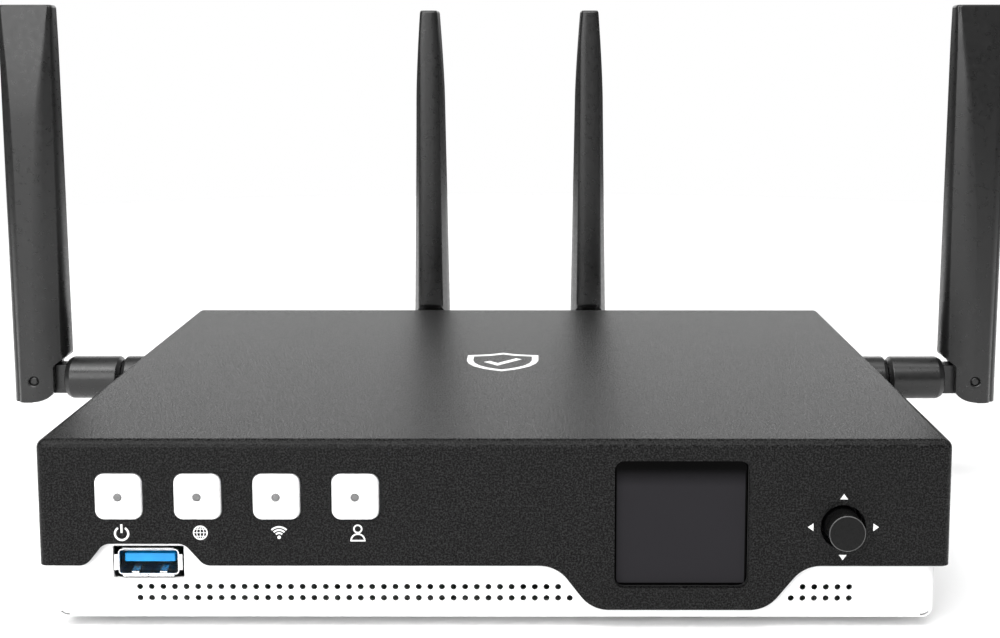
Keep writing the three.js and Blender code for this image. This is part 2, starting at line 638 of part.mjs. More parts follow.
const makeKnuckle = (name) => {
  const { pivot, radius, sleeveStart, sleeveEnd, groove } = ARM;
  const inNut = sleeveStart - SPIGOT.length;
  const sleeve = turned([
    [inNut, 0], [inNut, SPIGOT.radius], [sleeveStart, SPIGOT.radius], [sleeveStart, radius - groove],
    [sleeveStart + groove, radius], [sleeveEnd - 1.6, radius], [sleeveEnd - 0.5, radius - 0.5],
    [sleeveEnd, radius - 1.6], [sleeveEnd, 0],
  ]);
  const half = TONGUE.height / 2;
  const thick = TONGUE.thickness / 2;
  const tongue = join(
    block(sleeveEnd - 2, pivot, -thick, thick, -half, half),
    rod('y', pivot, 0, -thick, thick, half, 16),
  );
  const hole = rod('y', pivot, 0, -thick - 1, thick + 1, PIN_RADIUS + PIN_SLACK, 10);
  return part(name, cut(join(sleeve, tongue), hole), paint.blackPlastic);
};

const makePin = (name) => {
  const half = BLADE.ridge[0] / 2 - 0.5;
  return part(name, rod('y', ARM.pivot, 0, -half, half, PIN_RADIUS, 10), paint.blackPlastic);
};

const makeNut = (name) => {
  const { radius, nutEnd, groove } = ARM;
  const bore = JACK.nutBore;
  const chamfer = 0.3;
  const body = turned([
    [GAP, bore], [GAP, radius - chamfer], [GAP + chamfer, radius], [nutEnd - groove, radius],
    [nutEnd, radius - groove], [nutEnd, bore], [GAP, bore],
  ]);
  return part(name, body, paint.blackPlastic);
};

const makeJack = (name, wall) => {
  const { radius, flangeRadius, flange, reach } = JACK;
  const flangeFace = -wall - GAP;
  const body = turned([
    [flangeFace - flange, 0], [flangeFace - flange, flangeRadius], [flangeFace, flangeRadius],
    [flangeFace, radius], [reach, radius], [reach, 0],
  ], 12);
  return part(name, body, paint.brass);
};

// wall is the thickness of sheet and air between the arm's outer face and the tray's inner face.
const makeAntenna = (place, x, s, turn, wall) => {
  const group = new THREE.Group();
  group.position.set(x, s, ARM.z);
  group.rotation.z = turn;
  const blade = makeBlade(`paddle_${place}`);
  blade.position.x = ARM.pivot;
  group.add(
    makeJack(`antenna_jack_${place}`, wall),
    makeNut(`coupling_nut_${place}`),
    makeKnuckle(`knuckle_${place}`),
    makePin(`pivot_pin_${place}`),
    blade,
  );
  return group;
};

// ---------- assembly ----------

const appliance = new THREE.Group();
appliance.position.set(0, FRONT_Y, FOOT.height);

appliance.add(makeTopCover(), makeBaseTray(), makeFrontBoard());
appliance.add(...makeDisplay(), ...makeJoystick(), ...makeUsb(), ...makeReset(), ...makeElectronics());
appliance.add(makePorts(), makeInlet());

const KEY_NAMES = ['power', 'network', 'wireless', 'user'];
KEY_NAMES.forEach((name, i) => {
  appliance.add(
    makeKeyCap(`button_cap_${name}`, KEY.x[i]),
    makeKeyLight(`button_lens_${name}`, KEY.x[i]),
    makeKeySwitch(`key_switch_${name}`, KEY.x[i]),
  );
});

for (const [row, s] of [['front', SCREW.s[0]], ['rear', SCREW.s[1]]]) {
  appliance.add(makeScrew(`cover_screw_${row}_left`, -1, s), makeScrew(`cover_screw_${row}_right`, 1, s));
}

const footX = TRAY.halfWidth - FOOT.inset;
for (const [row, s] of [['front', FOOT.inset + 2], ['rear', CASE.depth - FOOT.inset]]) {
  appliance.add(makeFoot(`foot_${row}_left`, -footX, s), makeFoot(`foot_${row}_right`, footX, s));
}

const sideWall = CASE.width / 2 - TRAY.halfWidth + TRAY_SHEET;
appliance.add(
  makeAntenna('left', -CASE.width / 2, SIDE_ARM_S, Math.PI, sideWall),
  makeAntenna('right', CASE.width / 2, SIDE_ARM_S, 0, sideWall),
  makeAntenna('rear_left', -REAR_ARM_X, CASE.depth, Math.PI / 2, TRAY_SHEET),
  makeAntenna('rear_right', REAR_ARM_X, CASE.depth, Math.PI / 2, TRAY_SHEET),
);

export default appliance;
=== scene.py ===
"""A desktop firewall appliance: its looks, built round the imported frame.

Lengths are in millimetres in the case's own frame: x to the right, y back from the black front face and z up
from the tray's underside. TO_FRAME turns them into metres in the shared frame.
"""

from math import asin, atan2, copysign, cos, degrees, hypot, pi, radians, sin

import bmesh
import bpy
from mathutils import Matrix, Vector


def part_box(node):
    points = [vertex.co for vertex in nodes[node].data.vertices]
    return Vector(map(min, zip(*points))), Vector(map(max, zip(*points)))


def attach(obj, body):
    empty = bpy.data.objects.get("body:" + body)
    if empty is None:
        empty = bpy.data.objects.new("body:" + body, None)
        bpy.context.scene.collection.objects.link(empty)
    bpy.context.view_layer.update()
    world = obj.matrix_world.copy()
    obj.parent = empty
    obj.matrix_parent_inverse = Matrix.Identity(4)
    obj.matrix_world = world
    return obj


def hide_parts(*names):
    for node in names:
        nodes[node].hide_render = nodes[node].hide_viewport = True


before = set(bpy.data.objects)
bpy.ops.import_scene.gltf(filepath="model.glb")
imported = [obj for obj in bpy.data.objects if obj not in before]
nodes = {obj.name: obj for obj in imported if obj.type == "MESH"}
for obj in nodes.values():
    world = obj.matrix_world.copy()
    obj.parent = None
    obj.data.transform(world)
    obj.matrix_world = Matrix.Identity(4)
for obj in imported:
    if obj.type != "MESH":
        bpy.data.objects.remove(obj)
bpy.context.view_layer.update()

MM = 0.001
ORIGIN = Vector((0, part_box("top_cover")[0].y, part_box("base_tray")[0].z))
TO_FRAME = Matrix.Translation(ORIGIN) @ Matrix.Scale(MM, 4)


def node_box(name):
    """A CAD node's lowest and highest corner, in millimetres in the case's frame."""
    low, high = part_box(name)
    return (low - ORIGIN) / MM, (high - ORIGIN) / MM


def centre(name):
    low, high = node_box(name)
    return (low + high) / 2


def show(name, data):
    """Puts a new object with the data into the scene."""
    made = bpy.data.objects.new(name, data)
    bpy.context.scene.collection.objects.link(made)
    return made


def remove(*objects):
    for other in objects:
        bpy.data.objects.remove(other)


# ---------- camera ----------

CAMERA = {"location": (9.3, -300.3, 124.2), "pitch": 6.59, "yaw": 0.11, "lens": 52.4, "shift": (-0.035, -0.11)}


def make_camera():
    data = bpy.data.cameras.new("camera")
    data.lens = CAMERA["lens"]
    data.sensor_width = 36
    data.shift_x, data.shift_y = CAMERA["shift"]
    data.clip_start = 0.01
    camera = show("camera", data)
    camera.location = TO_FRAME @ Vector(CAMERA["location"])
    camera.rotation_euler = (radians(90 - CAMERA["pitch"]), 0, radians(CAMERA["yaw"]))
    bpy.context.scene.camera = camera


make_camera()

# ---------- outlines in x and z ----------


def arc(x, z, radius, start, end, steps):
    """Points on a circle, with angles in degrees."""
    angles = [radians(start + (end - start) * i / steps) for i in range(steps + 1)]
    return [(x + radius * cos(a), z + radius * sin(a)) for a in angles]


def rounded_rect(x, z, width, height, radius, steps=8):
    right, top = width / 2 - radius, height / 2 - radius
    corners = [(right, top, 0), (-right, top, 90), (-right, -top, 180), (right, -top, 270)]
    points = []
    for dx, dz, start in corners:
        points += arc(x + dx, z + dz, radius, start, start + 90, steps)
    return points


def circle(x, z, radius, steps=32):
    return arc(x, z, radius, 0, 360 - 360 / steps, steps - 1)


# ---------- solids ----------


def new_object(bm):
    bmesh.ops.recalc_face_normals(bm, faces=bm.faces)
    mesh = bpy.data.meshes.new("part")
    bm.to_mesh(mesh)
    bm.free()
    return show("part", mesh)


def loft(rings):
    """One closed body through rings that have the same number of points."""
    bm = bmesh.new()
    made = [[bm.verts.new(point) for point in ring] for ring in rings]
    count = len(made[0])
    for lower, upper in zip(made, made[1:]):
        for i in range(count):
            j = (i + 1) % count
            bm.faces.new((lower[i], lower[j], upper[j], upper[i]))
    bm.faces.new(made[0])
    bm.faces.new(reversed(made[-1]))
    return new_object(bm)


def prism(outline, y0, y1):
    return loft([[(x, y, z) for x, z in outline] for y in (y0, y1)])


def block(x0, x1, y0, y1, z0, z1):
    return prism([(x0, z0), (x1, z0), (x1, z1), (x0, z1)], y0, y1)


def rod(axis, a, b, start, end, radius, steps=32):
    """A round rod along an axis through the point (a, b) of the other two coordinates."""
    at = "xyz".index(axis)
    return loft([[(*point[:at], w, *point[at:]) for point in circle(a, b, radius, steps)] for w in (start, end)])


def rounded_block(x0, x1, y0, y1, z0, z1, radius, segments=6):
    bm = bmesh.new()
    bmesh.ops.create_cube(bm, size=1)
    middle = Vector((x0 + x1, y0 + y1, z0 + z1)) / 2
    size = Vector((x1 - x0, y1 - y0, z1 - z0))
    for vertex in bm.verts:
        vertex.co = middle + vertex.co * size
    edges = bm.verts[:] + bm.edges[:]
    bmesh.ops.bevel(bm, geom=edges, offset=radius, segments=segments, profile=0.5, affect="EDGES")
    return new_object(bm)


SAME_POINT = 1e-5


def turned(profile, steps=48):
    """A solid of revolution about the x axis, from (x, radius) points that start and end on the axis."""
    bm = bmesh.new()
    rings = []
    for x, radius in profile:
        if radius < SAME_POINT:
            rings.append([bm.verts.new((x, 0, 0))])
        else:
            angles = [2 * pi * i / steps for i in range(steps)]
            rings.append([bm.verts.new((x, radius * cos(a), radius * sin(a))) for a in angles])
    for first, second in zip(rings, rings[1:]):
        for i in range(steps):
            j = (i + 1) % steps
            corners = [ring[k % len(ring)] for ring, k in ((first, i), (first, j), (second, j), (second, i))]
            unique = list(dict.fromkeys(corners))
            if len(unique) > 2:
                bm.faces.new(unique)
    bmesh.ops.remove_doubles(bm, verts=bm.verts, dist=SAME_POINT)
    return new_object(bm)


def spun(profile, x, z, steps):
    """A solid of revolution about a line along y, from (y, radius) points."""
    made = turned(profile, steps)
    made.data.transform(Matrix.Translation((x, 0, z)) @ Matrix.Rotation(pi / 2, 4, "Z"))
    return made


def quarter(steps):
    return [pi / 2 * i / steps for i in range(steps + 1)]


def fillet(along, radius, size):
    """Profile points that round a face's rim, from the face at along to the side at the radius."""
    return [(along + size * (1 - cos(a)), radius - size + size * sin(a)) for a in quarter(5)]


MITRE_LEAST = 0.3


def band(points, width, closed=False):
    """The left and right edge of a strip of the given width that follows the points, with mitred corners."""
    count = len(points)
    left, right = [], []
    for i, (x, z) in enumerate(points):
        before = points[(i - 1) % count] if closed or i else points[i]
        after = points[(i + 1) % count] if closed or i < count - 1 else points[i]
        a = Vector((x - before[0], z - before[1]))
        b = Vector((after[0] - x, after[1] - z))
        a, b = (a if a.length else b).normalized(), (b if b.length else a).normalized()
        middle = (a + b).normalized()
        reach = width / 2 / max(MITRE_LEAST, middle.dot(a))
        left.append((x - middle.y * reach, z + middle.x * reach))
        right.append((x + middle.y * reach, z - middle.x * reach))
    return left, right


def stroke(points, width, y0, y1, closed=False):
    """A raised line along points in x and z."""
    left, right = band(points, width, closed)
    bm = bmesh.new()
    rows = [
        [bm.verts.new((x, y, z)) for x, z in side] for side, y in ((left, y0), (right, y0), (right, y1), (left, y1))
    ]
    count = len(points)
    for i in range(count if closed else count - 1):
        j = (i + 1) % count
        for first, second in zip(rows, rows[1:] + rows[:1]):
            bm.faces.new((first[i], first[j], second[j], second[i]))
    if not closed:
        bm.faces.new([row[0] for row in rows])
        bm.faces.new([row[-1] for row in reversed(rows)])
    return new_object(bm)


def strip(points, width, span, place):
    """A bent sheet: a band in a plane, drawn out between two distances, with place(u, v, w) as its corners."""
    left, right = band(points, width)
    outline = left + right[::-1]
    return loft([[place(u, v, w) for u, v in outline] for w in span])


def freeze(made):
    """Replaces an object's mesh with what its modifiers make of it."""
    graph = bpy.context.evaluated_depsgraph_get()
    mesh = bpy.data.meshes.new_from_object(made.evaluated_get(graph))
    made.modifiers.clear()
    made.data = mesh
    return made


def combine(made, others, operation):
    for other in others:
        step = made.modifiers.new("combine", "BOOLEAN")
        step.operation = operation
        step.solver = "EXACT"
        step.object = other
    freeze(made)
    remove(*others)
    return made


def cut(made, *others):
    return combine(made, others, "DIFFERENCE")


def join(made, *others):
    return combine(made, others, "UNION")


def gather(made, *others):
    """Puts loose bodies into one mesh without joining their surfaces."""
    bm = bmesh.new()
    for piece in (made, *others):
        bm.from_mesh(piece.data)
    remove(*others)
    bm.to_mesh(made.data)
    bm.free()
    return made


def soften(made, width, segments=2, angle=35):
    """Rounds every edge sharper than the angle."""
    bevel = made.modifiers.new("bevel", "BEVEL")
    bevel.width = width
    bevel.segments = segments
    bevel.limit_method = "ANGLE"
    bevel.angle_limit = radians(angle)
    return freeze(made)


SLIVER = 0.002


def clean(made):
    """Merges points that nearly touch and drops the slivers that cuts and bevels leave."""
    bm = bmesh.new()
    bm.from_mesh(made.data)
    bmesh.ops.remove_doubles(bm, verts=bm.verts, dist=SLIVER)
    bmesh.ops.dissolve_degenerate(bm, dist=SLIVER, edges=bm.edges)
    bm.to_mesh(made.data)
    bm.free()


def smooth(made, angle):
    """Smooth shading that keeps large flat faces flat."""
    clean(made)
    made.data.shade_smooth()
    made.data.set_sharp_from_angle(angle=radians(angle))
    weighted = made.modifiers.new("weighted", "WEIGHTED_NORMAL")
    weighted.keep_sharp = True
    weighted.weight = 100
    return freeze(made)


def finish_piece(made, name, look, stands_for=None, body="case", matrix=None, angle=35):
    """Names a piece, shades it, moves it into the shared frame and lets it ride on its body."""
    smooth(made, angle)
    made.name = name
    made.data.name = name
    made.data.transform(TO_FRAME @ (matrix or Matrix.Identity(4)))
    made.data.materials.clear()
    made.data.materials.append(LOOKS[look])
    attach(made, body)
    if stands_for:
        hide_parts(stands_for)


# ---------- materials ----------


def rgb(red, green, blue):
    return (red, green, blue, 1)


def grey(level):
    return rgb(level, level, level)


def fill_in(node, values):
    for socket, value in values.items():
        node.inputs[socket.replace("_", " ")].default_value = value
    return node


class Nodes:
    """A node tree, and short ways to add to it."""

    def __init__(self, owner):
        owner.use_nodes = True
        self.tree = owner.node_tree

    def node(self, kind, **values):
        return fill_in(self.tree.nodes.new(kind), values)

    def link(self, source, target):
        self.tree.links.new(source, target)

    def split(self, space):
        """The X, Y and Z outputs of a place in a space."""
        made = self.node("ShaderNodeSeparateXYZ")
        self.link(self.node("ShaderNodeTexCoord").outputs[space], made.inputs["Vector"])
        return made.outputs

    def remap(self, source, start, end, low=0.0, high=1.0):
        """Turns the range from start to end into the one from low to high."""
        made = self.node("ShaderNodeMapRange", From_Min=start, From_Max=end, To_Min=low, To_Max=high)
        self.link(source, made.inputs["Value"])
        return made.outputs["Result"]


LOOKS = {}


class Look(Nodes):
    """A Principled material, kept in LOOKS, with uniform values set on the shader itself."""

    def __init__(self, name, colour, roughness, **values):
        LOOKS[name] = bpy.data.materials.new(name)
        super().__init__(LOOKS[name])
        self.shader = self.tree.nodes["Principled BSDF"]
        fill_in(self.shader, {"Base Color": colour, "Roughness": roughness, **values})

    def noise(self, size, detail=2.0, rough=0.5, stretch=(1, 1, 1)):
        """Noise with features of about the given size in millimetres, fixed to the object."""
        where = self.node("ShaderNodeTexCoord").outputs["Object"]
        if stretch != (1, 1, 1):
            mapping = self.node("ShaderNodeMapping", Scale=stretch)
            self.link(where, mapping.inputs["Vector"])
            where = mapping.outputs["Vector"]
        made = self.node("ShaderNodeTexNoise", Scale=1 / (size * MM), Detail=detail, Roughness=rough)
        self.link(where, made.inputs["Vector"])
        return made.outputs["Fac"]

    def ramp(self, source, stops):
        """Colour stops as (position, colour)."""
        made = self.node("ShaderNodeValToRGB")
        elements = made.color_ramp.elements
        while len(elements) < len(stops):
            elements.new(0.5)
        for element, (position, colour) in zip(elements, stops):
            element.position = position
            element.color = colour
        self.link(source, made.inputs["Fac"])
        return made.outputs["Color"]

    def spread(self, source, socket, low, high, start=0.3, end=0.7):
        """Lets a value of the shader vary between low and high with the source."""
        self.link(self.remap(source, start, end, low, high), self.shader.inputs[socket])

    def bump(self, source, height):
        """Relief of the given height in millimetres."""
        made = self.node("ShaderNodeBump", Distance=height * MM)
        self.link(source, made.inputs["Height"])
        self.link(made.outputs["Normal"], self.shader.inputs["Normal"])

    def tint(self, source, stops):
        """Lets the colour follow the source along the stops."""
        self.link(self.ramp(source, stops), self.shader.inputs["Base Color"])


def powder_black():
    """Fine-textured powder coat: a dense grain of small bumps with a slight sparkle."""
    look = Look("cover_black", grey(0.010), 0.3, IOR=1.2)
    grain = look.noise(0.38, detail=1, rough=0.5)
    look.tint(grain, [(0.38, grey(0.0035)), (0.54, grey(0.009)), (0.68, grey(0.023))])
    look.spread(look.noise(0.38, detail=2, rough=0.85), "Roughness", 0.08, 0.6, 0.34, 0.66)
    look.bump(grain, 0.09)


def powder_white():
    look = Look("tray_white", grey(0.9), 0.45)
    look.spread(look.noise(3.0), "Roughness", 0.4, 0.5)
    look.bump(look.noise(0.6), 0.012)


def moulded(name, level, roughness, grain=0.25, relief=0.006, drift=0.12, **values):
    """Moulded plastic with a fine spark-eroded texture and slight changes of tone."""
    look = Look(name, grey(level), roughness, **values)
    look.tint(look.noise(6.0, detail=3), [(0.3, grey(level * (1 - drift))), (0.7, grey(level * (1 + drift)))])
    look.spread(look.noise(1.5), "Roughness", roughness - 0.04, roughness + 0.05)
    look.bump(look.noise(grain), relief)


def tinted(name, low, high, roughness, size=4.0, grain=0.2, relief=0.004, stretch=(1, 1, 1), **values):
    """A material whose colour wanders between two tones, over a fine grain that may be drawn out one way."""
    look = Look(name, low, roughness, **values)
    look.tint(look.noise(size, detail=3, stretch=stretch), [(0.35, low), (0.65, high)])
    look.spread(look.noise(size / 2, detail=2, stretch=stretch), "Roughness", roughness - 0.05, roughness + 0.07)
    look.bump(look.noise(grain, stretch=stretch), relief)


def circuit_board():
    """Dark green solder mask over faint copper tracks."""
    look = Look("circuit_board", rgb(0.01, 0.06, 0.025), 0.35)
    green = {"Color1": rgb(0.008, 0.05, 0.02), "Color2": rgb(0.010, 0.06, 0.026), "Mortar": rgb(0.03, 0.13, 0.05)}
    tracks = look.node("ShaderNodeTexBrick", Scale=1 / (3.0 * MM), Mortar_Size=0.04, **green)
    look.link(look.node("ShaderNodeTexCoord").outputs["Object"], tracks.inputs["Vector"])
    look.link(tracks.outputs["Color"], look.shader.inputs["Base Color"])
    look.spread(look.noise(2.0), "Roughness", 0.3, 0.42)
    look.bump(tracks.outputs["Fac"], 0.03)


SCREEN = (0.0190, 0.0182, 0.0205)


def display_glass():
    """A dark screen: thin nearly black margins round a slightly bluish display, and at the top a wider dark band that
    is painted shade from the window's top edge.
    """
    look = Look("display_glass", grey(0.013), 0.24, IOR=1.12)
    place = look.split("Object")
    low, high = node_box("display_glass")
    clear_of_border_and_painted_shade = None
    # Three thin dark margins, and at the top a black band with a long soft fade: painted shade cast by the window's
    # top edge.
    edges = [
        ("X", low.x + 0.7, 0.15), ("X", high.x - 0.9, -0.15), ("Z", low.z + 0.9, 0.15), ("Z", high.z - 1.8, -4.4),
    ]
    for axis, at, width in edges:
        offset = ORIGIN.x if axis == "X" else ORIGIN.z
        level = look.remap(place[axis], at * MM + offset, (at + width) * MM + offset)
        if clear_of_border_and_painted_shade:
            both = look.node("ShaderNodeMath")
            both.operation = "MULTIPLY"
            look.link(clear_of_border_and_painted_shade, both.inputs[0])
            look.link(level, both.inputs[1])
            level = both.outputs["Value"]
        clear_of_border_and_painted_shade = level
    shares = [(0.0, 0.0), (0.15, 0.04), (0.3, 0.2), (0.42, 0.4), (0.65, 0.64), (1.0, 1.0)]
    look.tint(clear_of_border_and_painted_shade, [(at, rgb(*(share * level for level in SCREEN))) for at, share in shares])
    look.spread(look.noise(8.0), "Roughness", 0.22, 0.27)
    look.bump(look.noise(1.0), 0.0004)


powder_black()
powder_white()
moulded("antenna_black", 0.009, 0.3, grain=0.35, relief=0.0015, drift=0.05)
moulded("black_plastic", 0.012, 0.45)
moulded("knob_black", 0.006, 0.28, IOR=1.23)
# The rim ring's light grey is a painted highlight on the knob's rim.
moulded("painted_rim_highlight", 0.075, 0.35, relief=0.001)
moulded("screw_black", 0.012, 0.32, relief=0.003, Metallic=0.4)
moulded("rubber", 0.012, 0.85, grain=0.5, relief=0.02)
moulded("cap_white", 0.88, 0.3, relief=0.001, drift=0.01)
moulded("ink_white", 0.85, 0.55, relief=0.002, drift=0.03)
moulded("lens_grey", 0.16, 0.25)
display_glass()
moulded("chip", 0.014, 0.5)
tinted("steel", grey(0.8), grey(0.88), 0.28, relief=0.0006, stretch=(1, 12, 1), Metallic=1.0)
tinted("tinned_steel", grey(0.55), grey(0.66), 0.3, relief=0.0006, stretch=(1, 8, 1), Metallic=1.0)
tinted("brass", rgb(0.66, 0.45, 0.16), rgb(0.76, 0.55, 0.22), 0.28, Metallic=1.0)
tinted("gold_contacts", rgb(0.85, 0.6, 0.2), rgb(0.9, 0.68, 0.28), 0.22, Metallic=1.0)
tinted("aluminium", grey(0.52), grey(0.6), 0.36, relief=0.001, stretch=(1, 10, 1), Metallic=1.0)
tinted("usb_blue", rgb(0.0, 0.27, 0.66), rgb(0.0, 0.31, 0.72), 0.35)
circuit_board()

# ---------- CAD nodes that stay, all inside the case ----------

KEY_NAMES = ("power", "network", "wireless", "user")
NODE_LOOKS = {
    **dict.fromkeys(("main_board", "front_board", "wifi_card"), "circuit_board"),
    **dict.fromkeys(("processor", "reset_switch"), "chip"),
    **{f"key_switch_{name}": "black_plastic" for name in KEY_NAMES},
    "heat_sink": "aluminium",
}

for name, look in NODE_LOOKS.items():
    nodes[name].data.materials.clear()
    nodes[name].data.materials.append(LOOKS[look])

# ---------- the folded case ----------

SHEET = {"cover": 1.2, "tray": 1.0, "bend": 2.0, "tray_bend": 2.5, "edge": 0.15}
FOLDED_ANGLE = 15
GAP = 0.3
SKIRT_EDGE = 12.7
USB_RISE = {"start": -88.8, "flat": (-82.0, -67.6), "end": -60.6, "z": 17.5, "radius": 3.1}
DISPLAY_DIP = {"start": 9.6, "flat": (24.6, 54.7), "end": 69.9, "z": 2.9, "radius": 7.6}
VENT = {"radius": 0.66, "flare": 1.0, "pitch": 2.5, "rows": (7.5, 5.0)}
VENT_GROUPS = [{"last": 13.7, "counts": (37, 38), "stagger": 1}, {"last": 76.3, "counts": (5, 6), "stagger": 0}]
CORNER_SLOT = {"x": 92.0, "z": 3.35, "outer": 2.4, "inner": 1.85, "start": 222, "end": 276}
ARM_HOLE = 3.4
SCREW_HOLE = 1.8
RESET_HOLE = 1.8
STICK_HOLE = {"cover": 4.8, "tray": 6}
POSTS = {"places": [(-80, 24), (80, 24), (-80, 134), (80, 134), (0, 80)], "radius": 2.6}
# How far the cutters reach past a wall, and how deep behind the front those that pass through it end.
PAST = 5
BEHIND_FRONT = 5

cover_high = node_box("top_cover")[1]
tray_low, tray_high = node_box("base_tray")
glass_low, glass_high = node_box("display_glass")
FLANGE = 1.1


KEYS = {name: centre(f"button_lens_{name}") for name in KEY_NAMES}
flange_low, flange_high = node_box("button_cap_power")
KEY_SIZE = (flange_high.x - flange_low.x - 2 * FLANGE, flange_high.z - flange_low.z - 2 * FLANGE)
KEY_RADIUS = 2.0
STICK = centre("joystick_knob")
USB = centre("usb_tongue")
USB_OPENING = {"z": 13.0, "size": (15.3, 7.2)}
DISPLAY = {"x": (glass_low.x + glass_high.x) / 2, "z": (glass_low.z + glass_high.z) / 2, "size": (28.6, 27.9)}
SCREWS = {name: centre(name) for name in nodes if name.startswith("cover_screw")}
ARM_Z = centre("antenna_jack_left").z
SIDE_ARM_Y = centre("antenna_jack_left").y
REAR_ARM_X = centre("antenna_jack_rear_right").x


def add_step(points, x, z, radius):
    """Continues an outline to (x, z) with an arc, a straight slope and an arc, level at both ends."""
    x0, z0 = points[-1]
    up = copysign(1, z - z0)
    run, rise = x - x0, abs(z - z0) - 2 * radius
    slope = degrees(atan2(rise, run) + asin(2 * radius / hypot(run, rise)))
    points += arc(x0, z0 + up * radius, radius, -up * 90, up * (slope - 90), 12)[1:]
    points += arc(x, z - up * radius, radius, up * (slope + 90), up * 90, 12)


def skirt_outline(side, bottom):
    points = [(-side, SKIRT_EDGE)]
    for bump in (USB_RISE, DISPLAY_DIP):
        points.append((bump["start"], SKIRT_EDGE))
        add_step(points, bump["flat"][0], bump["z"], bump["radius"])
        points.append((bump["flat"][1], bump["z"]))
        add_step(points, bump["end"], SKIRT_EDGE, bump["radius"])
    return points + [(side, SKIRT_EDGE), (side, bottom), (-side, bottom)]


def side_holes(half):
    holes = [rod("x", SIDE_ARM_Y, ARM_Z, -half - 1, half + 1, ARM_HOLE)]
    for y in sorted({round(place.y, 3) for place in SCREWS.values()}):
        holes.append(rod("x", y, SCREWS["cover_screw_front_left"].z, -half - 1, half + 1, SCREW_HOLE))
    return holes


def key_outline(place, grow, rounder):
    """A key's outline, grown all round, with corners that grow no more than rounder."""
    width, height = (side + 2 * grow for side in KEY_SIZE)
    return rounded_rect(place.x, place.z, width, height, KEY_RADIUS + min(grow, rounder))


def key_windows(slack, y0, y1):
    return [prism(key_outline(place, slack, 0.4), y0, y1) for place in KEYS.values()]


def make_cover():
    half, depth, top = cover_high.x, cover_high.y, cover_high.z
    sheet, bend = SHEET["cover"], SHEET["bend"]
    inside = half - sheet
    shell = rounded_block(-half, half, 0, depth + 20, -20, top, bend, 10)
    hollow = rounded_block(-inside, inside, sheet, depth + 40, -40, top - sheet, bend - sheet, 5)
    wide, front = half + PAST, (-PAST, sheet + 0.5)
    cut(
        shell,
        hollow,
        block(-wide, wide, depth, depth + 60, -60, top + PAST),
        block(-wide, wide, bend + 1, depth + 60, -60, SKIRT_EDGE),
        prism(skirt_outline(wide, -60), -PAST, bend + 2),
        prism(rounded_rect(DISPLAY["x"], DISPLAY["z"], *DISPLAY["size"], 2.0), *front),
        rod("y", STICK.x, STICK.z, *front, STICK_HOLE["cover"], 64),
        *key_windows(0.2, *front),
        *side_holes(half),
    )
    soften(shell, SHEET["edge"])
    finish_piece(shell, "cover", "cover_black", "top_cover", angle=FOLDED_ANGLE)


def vent_hole(x, z):
    """A punched hole: straight at the face, and broken out wider behind it."""
    face = tray_low.y
    narrow, wide = VENT["radius"], VENT["flare"]
    steps = [(0, narrow), (face + 0.3, narrow), (face + SHEET["tray"] + 0.2, wide), (BEHIND_FRONT, wide)]
    return loft([[(u, y, w) for u, w in circle(x, z, radius, 20)] for y, radius in steps])


def vent_holes():
    holes = []
    for group in VENT_GROUPS:
        for row, (z, count) in enumerate(zip(VENT["rows"], group["counts"])):
            last = group["last"] + row * group["stagger"] * VENT["pitch"]
            holes += [vent_hole(last - i * VENT["pitch"], z) for i in range(count)]
    return gather(*holes)


def corner_slots():
    """The small curved relief cuts where the tray's front meets its floor and sides."""
    x, z, outer, inner, start, end = CORNER_SLOT.values()
    outline = arc(-x, z, outer, start, end, 10) + arc(-x, z, inner, end, start, 10)
    return [prism([(-side * u, w) for u, w in outline], 0, BEHIND_FRONT) for side in (-1, 1)]


def rear_holes():
    y0, y1 = tray_high.y - SHEET["tray_bend"], tray_high.y + 3
    holes = []
    for name in ("network_port_block", "power_inlet"):
        low, high = node_box(name)
        holes.append(block(low.x - 0.4, high.x + 0.4, y0, y1, low.z - GAP, high.z + 0.4))
    reset = centre("reset_button")
    holes.append(rod("y", reset.x, reset.z, y0, y1, RESET_HOLE))
    return holes + [rod("y", side * REAR_ARM_X, ARM_Z, y0, y1, ARM_HOLE) for side in (-1, 1)]


def make_tray():
    half, front, rear, top = tray_high.x, tray_low.y, tray_high.y, tray_high.z
    sheet, bend, inside = SHEET["tray"], SHEET["tray_bend"], half - SHEET["tray"]
    tray = rounded_block(-half, half, front, rear, 0, top + 20, bend, 8)
    hollow = rounded_block(-inside, inside, front + sheet, rear - sheet, sheet, top + 40, bend - sheet)
    low, high = node_box("display_bezel")
    bezel = rounded_rect(DISPLAY["x"], DISPLAY["z"], high.x - low.x + 0.8, high.z - low.z + 0.8, 1.4)
    cut(
        tray,
        hollow,
        block(-half - PAST, half + PAST, front - PAST, rear + PAST, top, top + 30),
        prism(rounded_rect(USB.x, USB_OPENING["z"], *USB_OPENING["size"], 0.4), 0, BEHIND_FRONT),
        prism(bezel, 0, BEHIND_FRONT),
        rod("y", STICK.x, STICK.z, 0, BEHIND_FRONT, STICK_HOLE["tray"], 48),
        *corner_slots(),
        *key_windows(0.5, 0, BEHIND_FRONT),
        *rear_holes(),
        *side_holes(half),
    )
    soften(tray, 0.1)
    cut(tray, vent_holes())
    board = node_box("main_board")[0].z
    join(tray, *(rod("z", x, y, sheet - 0.1, board - GAP, POSTS["radius"], 24) for x, y in POSTS["places"]))
    finish_piece(tray, "tray", "tray_white", "base_tray", angle=FOLDED_ANGLE)


make_cover()
make_tray()

# ---------- the four keys ----------

KEY_FACE = -0.8
KEY_SHAPE = {"fillet": 1.0, "flange_start": 2.8, "flange_end": 3.6, "back": 4.1, "plunger": 1.7}
LIGHT = {"radius": 0.9, "depth": 2.5, "slack": 0.1, "recess": 0.1}


